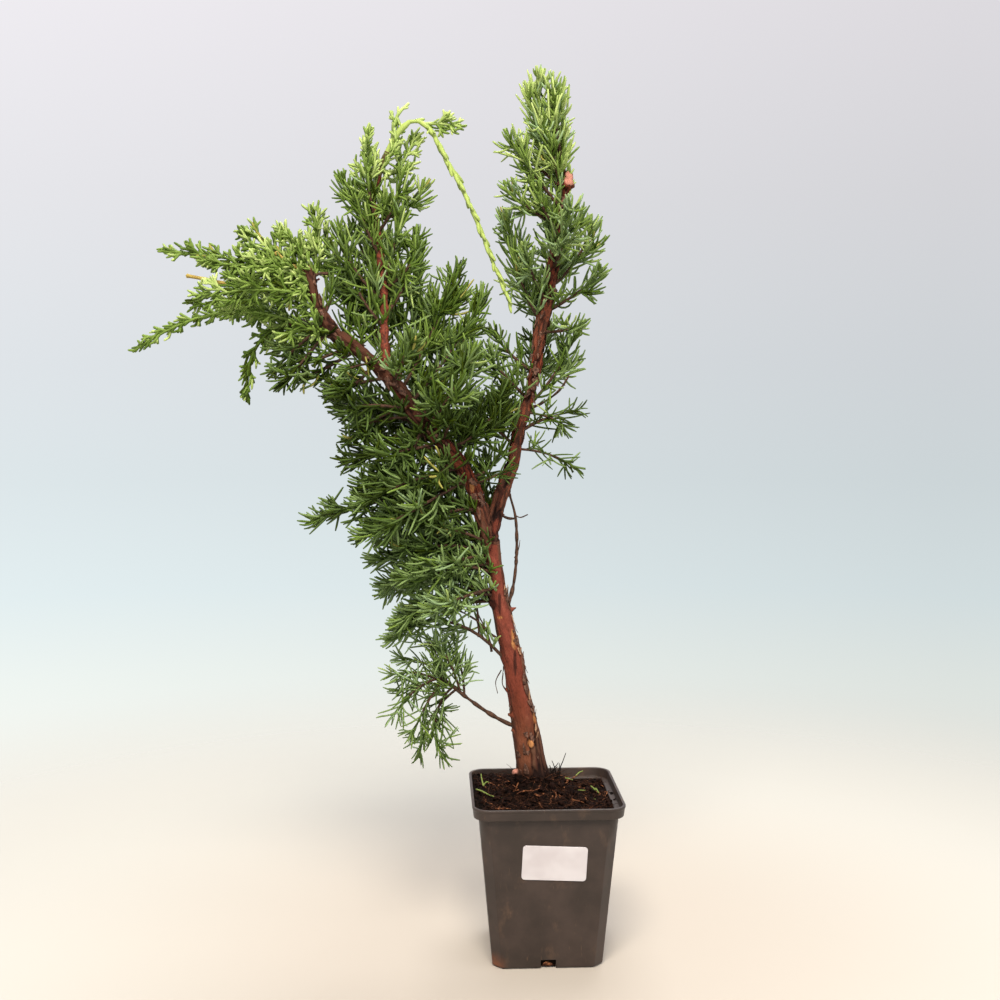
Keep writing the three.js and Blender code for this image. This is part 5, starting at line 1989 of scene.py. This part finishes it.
@dataclass
class Soil:
    """The peat that fills the pot, with its crumbs, fibres, chips and rootlets.

    It covers the ledge inside the rim on the left, and leaves it bare on the right.
    """

    pot: Pot
    peat: Material
    crumb: Material
    fibre: Material
    chip: Material
    green: Material
    root: Material
    low_edge: float = 92.6
    high_edge: float = 96.6
    ledge: float = 94.2
    ground: float = 99.7
    gap: float = 0.2
    mound: Pair = (-6.0, 5.0)
    mound_radius: float = 25.0
    mound_skirt: float = 12.0
    heap: float = 6.0
    heap_radius: float = 20.0
    heap_top: float = 9.0
    corner_cut: float = 6.2
    litter_cut: float = 9.0
    grid: int = 120
    crumbs: int = 1100
    fibres: int = 800
    chips: int = 80
    roots: int = 60
    greens: int = 7
    rootlet_count: int = 24

    STEPS = np.array([-1.0, -0.55, 0.1, 0.7])
    LUMP = np.array([0.35, 0.95, 1.0, 0.5])
    THREAD = np.array([0.9, 1.0, 0.95, 0.85, 0.7, 0.45])
    ROOTLET = np.linspace(0.5, 0.22, 7)

    @property
    def half(self) -> float:
        """Half the width of the soil's top, inside the rim."""
        return self.pot.rim_width / 2 - self.pot.lip - self.pot.bead_out - 0.1

    @property
    def body_half(self) -> float:
        """Half the width of the soil below the ledge."""
        return self.pot.half(self.pot.shoulder) - self.pot.wall - self.gap

    def height(self, x: Array, y: Array) -> Array:
        """How high the soil stands, with its lumps.

        Args:
            x: how far right each place is.
            y: how far back it is.

        Returns:
            The height at each place.
        """
        away = np.hypot(x - self.mound[0], y - self.mound[1])
        rise = ease(0, self.mound_radius, self.mound_radius + self.mound_skirt - away)
        flat = np.column_stack((x, y, np.zeros(len(x))))
        lumps = 1.8 * ripple(flat / 7, 21) + 1.5 * ripple(flat / 3, 22) + 0.9 * ripple(flat / 1.3, 23)
        heap = self.heap * ease(self.heap_radius, self.heap_top, away)
        edge = mix(self.high_edge, self.low_edge, ease(2, 36, x + 0.25 * y))
        level = mix(edge, self.ground, rise) + heap + lumps - 0.4
        past = np.maximum(np.abs(x), np.abs(y)) > self.body_half
        return np.where(past, np.maximum(level, self.ledge - 0.3), level)

    def bed(self) -> None:
        """The soil's body: its lumpy top, and its sides down to the pot's floor."""
        share = np.linspace(-1, 1, self.grid)
        x, y = (grid.ravel() * self.half for grid in np.meshgrid(share, share))
        top = np.column_stack((x, y, self.height(x, y)))
        top[:, :2] = self.inside_corners(top[:, :2], self.corner_cut)
        number = np.arange(self.grid**2).reshape(self.grid, self.grid)
        inner = np.stack((number[:-1, :-1], number[:-1, 1:], number[1:, 1:], number[1:, :-1]), -1)
        rim = np.concatenate((number[0, :-1], number[:-1, -1], number[-1, :0:-1], number[:0:-1, 0]))
        foot, foot_half = self.pot.floor + 0.3, self.pot.half(self.pot.floor) - self.pot.wall - self.gap
        under = self.ledge - 0.6
        levels = ((self.half, under), (self.body_half, under), (foot_half, foot))
        rings = [np.column_stack((top[rim, :2] * half / self.half, np.full(len(rim), z)))
                 for half, z in levels]
        points = np.vstack((top, *rings, [0, 0, foot]))
        rows = [rim] + [self.grid**2 + len(rim) * i + np.arange(len(rim)) for i in range(len(levels))]
        walls = [np.stack((low, np.roll(low, -1), np.roll(high, -1), high), -1)
                 for high, low in zip(rows, rows[1:])]
        floor = np.stack((np.roll(rows[-1], -1), rows[-1], np.full(len(rim), len(points) - 1)), -1)
        maker = MeshMaker()
        maker.add(points, [inner.reshape(-1, 4), *walls, floor])
        present(maker.piece("peat_bed", [self.peat]), "soil", "soil")

    def inside_corners(self, flat: Array, cut: float) -> Array:
        """Draws the square's corners in to the pot's cut corners."""
        limit = 2 * self.half - cut
        total = np.abs(flat).sum(axis=1)
        return flat * np.where(total > limit, limit / np.maximum(total, 1e-6), 1.0)[:, None]

    def scatter(self, count: int, seed: int, margin: float) -> tuple[Array, Array, Array]:
        """Strews things over the soil, and none over the bare ledge.

        Args:
            count: how many are tried.
            seed: what their places come from.
            margin: how far they stay from the rim.

        Returns:
            Their numbers, their places and the soil's height at each.
        """
        index = np.arange(count)
        reach = self.half - margin
        flat = np.column_stack([chance(seed + axis, index, -reach, reach) for axis in range(2)])
        flat = self.inside_corners(flat, self.litter_cut)
        height = self.height(*flat.T)
        bare_ledge = (np.abs(flat).max(axis=1) > self.body_half - 1) & (height < self.ledge + 0.2)
        kept = ~bare_ledge
        return np.arange(kept.sum()), flat[kept], height[kept]

    def add_lumps(
        self, maker: MeshMaker, count: int, seed: int, size: Pair, shape: Point, finish: int
    ) -> None:
        """Adds rough lumps that lie on the soil.

        Args:
            maker: what gathers them.
            count: how many.
            seed: what their places and sizes come from.
            size: the range of their radii.
            shape: how long, wide and thick they are for their size.
            finish: which finish they have.
        """
        long, wide, thick = shape
        index, flat, height = self.scatter(count, seed, margin=2.2)
        radius = mix(*size, chance(seed + 2, index) ** 2)
        heading = chance(seed + 3, index, 0, TURN)
        pitch = chance(seed + 4, index, -0.5, 0.5)
        level = np.cos(pitch)
        ahead = np.column_stack((np.cos(heading) * level, np.sin(heading) * level, np.sin(pitch)))
        middle = np.column_stack((flat, height + radius * thick * 0.3))
        paths = middle[:, None] + ahead[:, None] * (self.STEPS * long)[None, :, None] * radius[:, None, None]
        bulge = self.LUMP * chance(seed + index[:, None], np.arange(len(self.LUMP)) + 9, 0.75, 1.2)
        across, deep = radius[:, None] * bulge * wide, radius[:, None] * bulge * thick
        maker.add_tubes(paths, across, 5, finish, deep=deep, up=np.repeat(UP[None], len(flat), axis=0))

    def add_threads(
        self, maker: MeshMaker, count: int, seed: int, length: Pair, girth: float, finish: int, rise: float
    ) -> None:
        """Adds thin curved fibres that lie on the soil or stand a little out of it.

        Args:
            maker: what gathers them.
            count: how many.
            seed: what their places and curves come from.
            length: the range of their lengths.
            girth: their radius.
            finish: which finish they have.
            rise: how steeply they stand up at most.
        """
        index, flat, height = self.scatter(count, seed, margin=4.0)
        long = chance(seed + 2, index, *length)
        heading = chance(seed + 3, index, 0, TURN)
        bend = chance(seed + 4, index, -1.2, 1.2)
        lift = chance(seed + 5, index, -0.1, rise)
        along = np.column_stack((np.cos(heading), np.sin(heading), lift))
        turned = np.column_stack((np.cos(heading + bend), np.sin(heading + bend), lift * 0.4 - 0.05))
        control = bent(np.column_stack((flat, height - 0.2)), along, turned, long)
        control = control[np.abs(control[:, :, :2]).max(axis=(1, 2)) < self.half]
        paths = swept(control, len(self.THREAD))
        floor = self.height(paths[..., 0].ravel(), paths[..., 1].ravel()).reshape(paths.shape[:2])
        paths[..., 2] = np.maximum(paths[..., 2], floor + 0.1)
        maker.add_tubes(paths, np.repeat(girth * self.THREAD[None], len(paths), axis=0), 4, finish)

    def rootlets(self, maker: MeshMaker, finish: int) -> None:
        """Adds the tuft of black rootlets that stands up at the right of the trunk.

        Args:
            maker: what gathers them.
            finish: which finish they have.
        """
        index = np.arange(self.rootlet_count)

        def drawn(seeds: Sequence[int], *spans: Pair) -> Array:
            """Three numbers for each rootlet, in ranges of their own."""
            return np.column_stack([chance(seed, index, *span) for seed, span in zip(seeds, spans)])

        start = drawn((71, 72, 70), (0, 8), (1, 8), (99, 102))
        lean = drawn((73, 74, 75), (-0.2, 1.0), (-0.5, 0.5), (0.5, 1.2))
        sway = drawn((77, 78, 79), (-0.4, 0.9), (-0.6, 0.6), (0.1, 1.0))
        control = np.concatenate((bent(start, lean, sway, chance(76, index, 6, 15)), TALL_ROOTLETS))
        across = np.repeat(self.ROOTLET[None], len(control), axis=0)
        maker.add_tubes(swept(control, len(self.ROOTLET)), across, 5, finish)

    def build(self) -> None:
        """Builds the soil and what lies on it."""
        self.bed()
        maker = MeshMaker()
        self.add_lumps(maker, self.crumbs, 101, (0.25, 2.3), (1.0, 1.0, 0.85), 0)
        self.add_lumps(maker, self.chips, 131, (0.4, 1.5), (1.8, 0.8, 0.35), 2)
        self.add_threads(maker, self.fibres, 151, (3, 12), 0.17, 1, 0.8)
        self.add_threads(maker, self.roots, 171, (5, 15), 0.42, 2, 0.35)
        self.add_threads(maker, self.greens, 191, (2, 6), 0.4, 3, 0.4)
        self.rootlets(maker, 4)
        for number, stalk in enumerate(GREEN_STALKS):
            path = Curve.through(stalk).at(even(9))[None]
            girth = np.linspace(0.55, 0.3, 9)[None] * (1 + 0.2 * np.cos(np.arange(9) * 2 + number))
            maker.add_tubes(path, girth, 6, 3, foot=True)
        maker.add_tubes(np.array([BEHIND_NOTCH.path]), np.array([BEHIND_NOTCH.girth]), 9, 2, foot=True)
        litter = maker.piece("peat_litter", [self.crumb, self.fibre, self.chip, self.green, self.root])
        present(litter, "soil", "soil")


# Stage, light and camera


@dataclass
class Studio:
    """A plain pale floor, soft light and the photograph's camera."""

    camera_at: Point = (-66.93, -815.80, 340.2)
    camera_towards: Point = (0.0487, 0.9957, -0.0785)
    lens: float = 49.248
    sensor: float = 36.0
    floor_near: str = "AEA69C"
    floor_far: str = "B5B3AC"
    floor_radius: float = 1400.0
    floor_sides: int = 64
    middle: Point = (-0.06, 0.0, 0.28)

    SKY = ((0.25, "FDF0DF"), (0.36, "F2F0E8"), (0.40, "E8EEEA"), (0.43, "DCE7E9"), (0.47, "D6DFE2"),
           (0.51, "D8DDE1"), (0.57, "DFDFE3"), (0.66, "ECE8ED"), (0.75, "EEEAF0"), (0.86, "8C8C92"),
           (1.0, "5A5A60"))

    def put(self, name: str, data: bpy.types.ID, place: Vector, ahead: Vector) -> Thing:
        """Puts a camera or lamp in its place.

        Args:
            name: its name.
            data: the camera or lamp.
            place: where it stands, in metres.
            ahead: the direction that it looks in.

        Returns:
            The new object.
        """
        thing = bpy.data.objects.new(name, data)
        bpy.context.scene.collection.objects.link(thing)
        thing.location = place
        thing.rotation_mode = "QUATERNION"
        thing.rotation_quaternion = ahead.to_track_quat("-Z", "Y")
        return thing

    def camera(self) -> None:
        """Makes the camera and sets it."""
        data = bpy.data.cameras.new("camera")
        data.lens = self.lens
        data.sensor_width = self.sensor
        place = Vector(self.camera_at) * METRE
        bpy.context.scene.camera = self.put("camera", data, place, Vector(self.camera_towards))

    def floor(self) -> None:
        """A pale round floor whose edge melts into the backdrop."""
        angle = np.arange(self.floor_sides) * TURN / self.floor_sides
        maker = MeshMaker()
        rim = self.floor_radius * np.column_stack((np.cos(angle), np.sin(angle), angle * 0))
        maker.add(rim, [np.arange(self.floor_sides)[None]])
        bench = Bench("floor_paint", 0.8, specular=0.2)
        away = bench.node("VectorMath", {0: bench.coordinate("Object")}, operation="LENGTH").outputs["Value"]
        bench.colour(bench.over(self.floor_near, self.floor_far, away, (0.08, 0.4)))
        clear = bench.node("BsdfTransparent", {}).outputs[0]
        fade = bench.band(away, (0.25, 0.85))
        faded = bench.node("MixShader", {0: fade, 1: bench.shader.outputs[0], 2: clear})
        bench.feed(bench.nodes["Material Output"].inputs["Surface"], faded.outputs[0])
        maker.piece("floor", [bench.material], smooth=False)

    def backdrop(self) -> None:
        """The world: cream below, pale blue at the horizon and grey-lavender above."""
        world = bpy.data.worlds.new("studio")
        bpy.context.scene.world = world
        sky = Nodes(world)
        split = sky.node("SeparateXYZ", {0: sky.coordinate("Generated")})
        height = sky.band(split.outputs["Z"], (-1.0, 1.0), kind="LINEAR")
        ramp = sky.node("ValToRGB", {"Fac": height})
        stops = ramp.color_ramp.elements
        stops.remove(stops[1])
        for i, (place, colour) in enumerate(self.SKY):
            stop = stops.new(place) if i else stops[0]
            stop.position = place
            stop.color = linear(colour)
        background = sky.nodes["Background"]
        sky.feed(background.inputs["Color"], ramp.outputs["Color"])
        strength = sky.band(split.outputs["X"], (-0.3, 0.35), (1.08, 0.9), "LINEAR")
        sky.feed(background.inputs["Strength"], strength)

    def lamp(self, name: str, place: Point, size: float, power: float, colour: str = "FFFFFF") -> None:
        """Hangs a soft square light that points at the plant's middle.

        Args:
            name: its name.
            place: where it hangs, in metres.
            size: its width, in metres.
            power: its power, in watts.
            colour: its colour, in hex digits.
        """
        data = bpy.data.lights.new(name, "AREA")
        data.size = size
        data.energy = power
        data.color = linear(colour)[:3]
        self.put(name, data, Vector(place), Vector(self.middle) - Vector(place))

    def build(self) -> None:
        """Sets the stage."""
        bpy.context.scene.view_settings.view_transform = "Standard"
        self.camera()
        self.backdrop()
        self.floor()
        self.lamp("key_light", (-0.2, -1.2, 1.75), 0.8, 64.0, "FFF6E8")
        self.lamp("fill_light", (1.5, -1.0, 1.1), 1.7, 17.0)
        self.lamp("top_light", (0.1, 0.6, 1.7), 1.0, 24.0)


def main() -> None:
    """Builds the juniper and its pot, in order."""
    logging.basicConfig(level=logging.INFO, format="%(message)s")
    for thing in list(bpy.data.objects):
        bpy.data.objects.remove(thing)
    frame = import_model()
    LOG.info("%d nodes in the frame", len(frame["nodes"]))
    Studio().build()
    pot = Pot(PlasticFinish().material())
    pot.build()
    Label(PaperFinish().material(), pot).build()
    brown = SpeckledFinish("brown_twig_bark", "2B1C13", "4E3424").material()
    ochre = SpeckledFinish("young_twig_bark", "40301C", "555024").material()
    lime = LeafFinish("lime_shoot", "94A558", 0.45).material()
    Soil(
        pot,
        peat=EarthFinish("moist_peat", "070403", "1B100B").material(),
        crumb=EarthFinish("peat_crumb", "090403", "241510").material(),
        fibre=EarthFinish("peat_fibre", "1A0D09", "523526", 0.8, 900.0).material(),
        chip=EarthFinish("bark_chip", "40241A", "94603F", 0.75, 700.0).material(),
        green=LeafFinish("fallen_leaf", "6C7A3E", 0.6).material(),
        root=EarthFinish("dark_rootlet", "0D0A09", "1E1713", 0.8, 900.0).material(),
    ).build()
    bark = BarkFinish().material()
    loose = SpeckledFinish("loose_bark", "38231A", "6B4A3A").material()
    pale = SpeckledFinish("pale_loose_bark", "73503A", "B08868").material()
    Wood(bark, loose, pale).build()
    red = SpeckledFinish("red_shoot_bark", "451F15", "7C3A26").material()
    cut = SpeckledFinish("cut_twig", "8C7238", "A8964A").material()
    ThinShoots(red, brown, lime, ochre, cut).build()
    greens = {green: LeafFinish(f"leaf_{green.name.lower()}", green.value).material() for green in Green}
    Foliage(greens, brown).build()


if __name__ == "__main__":
    main()
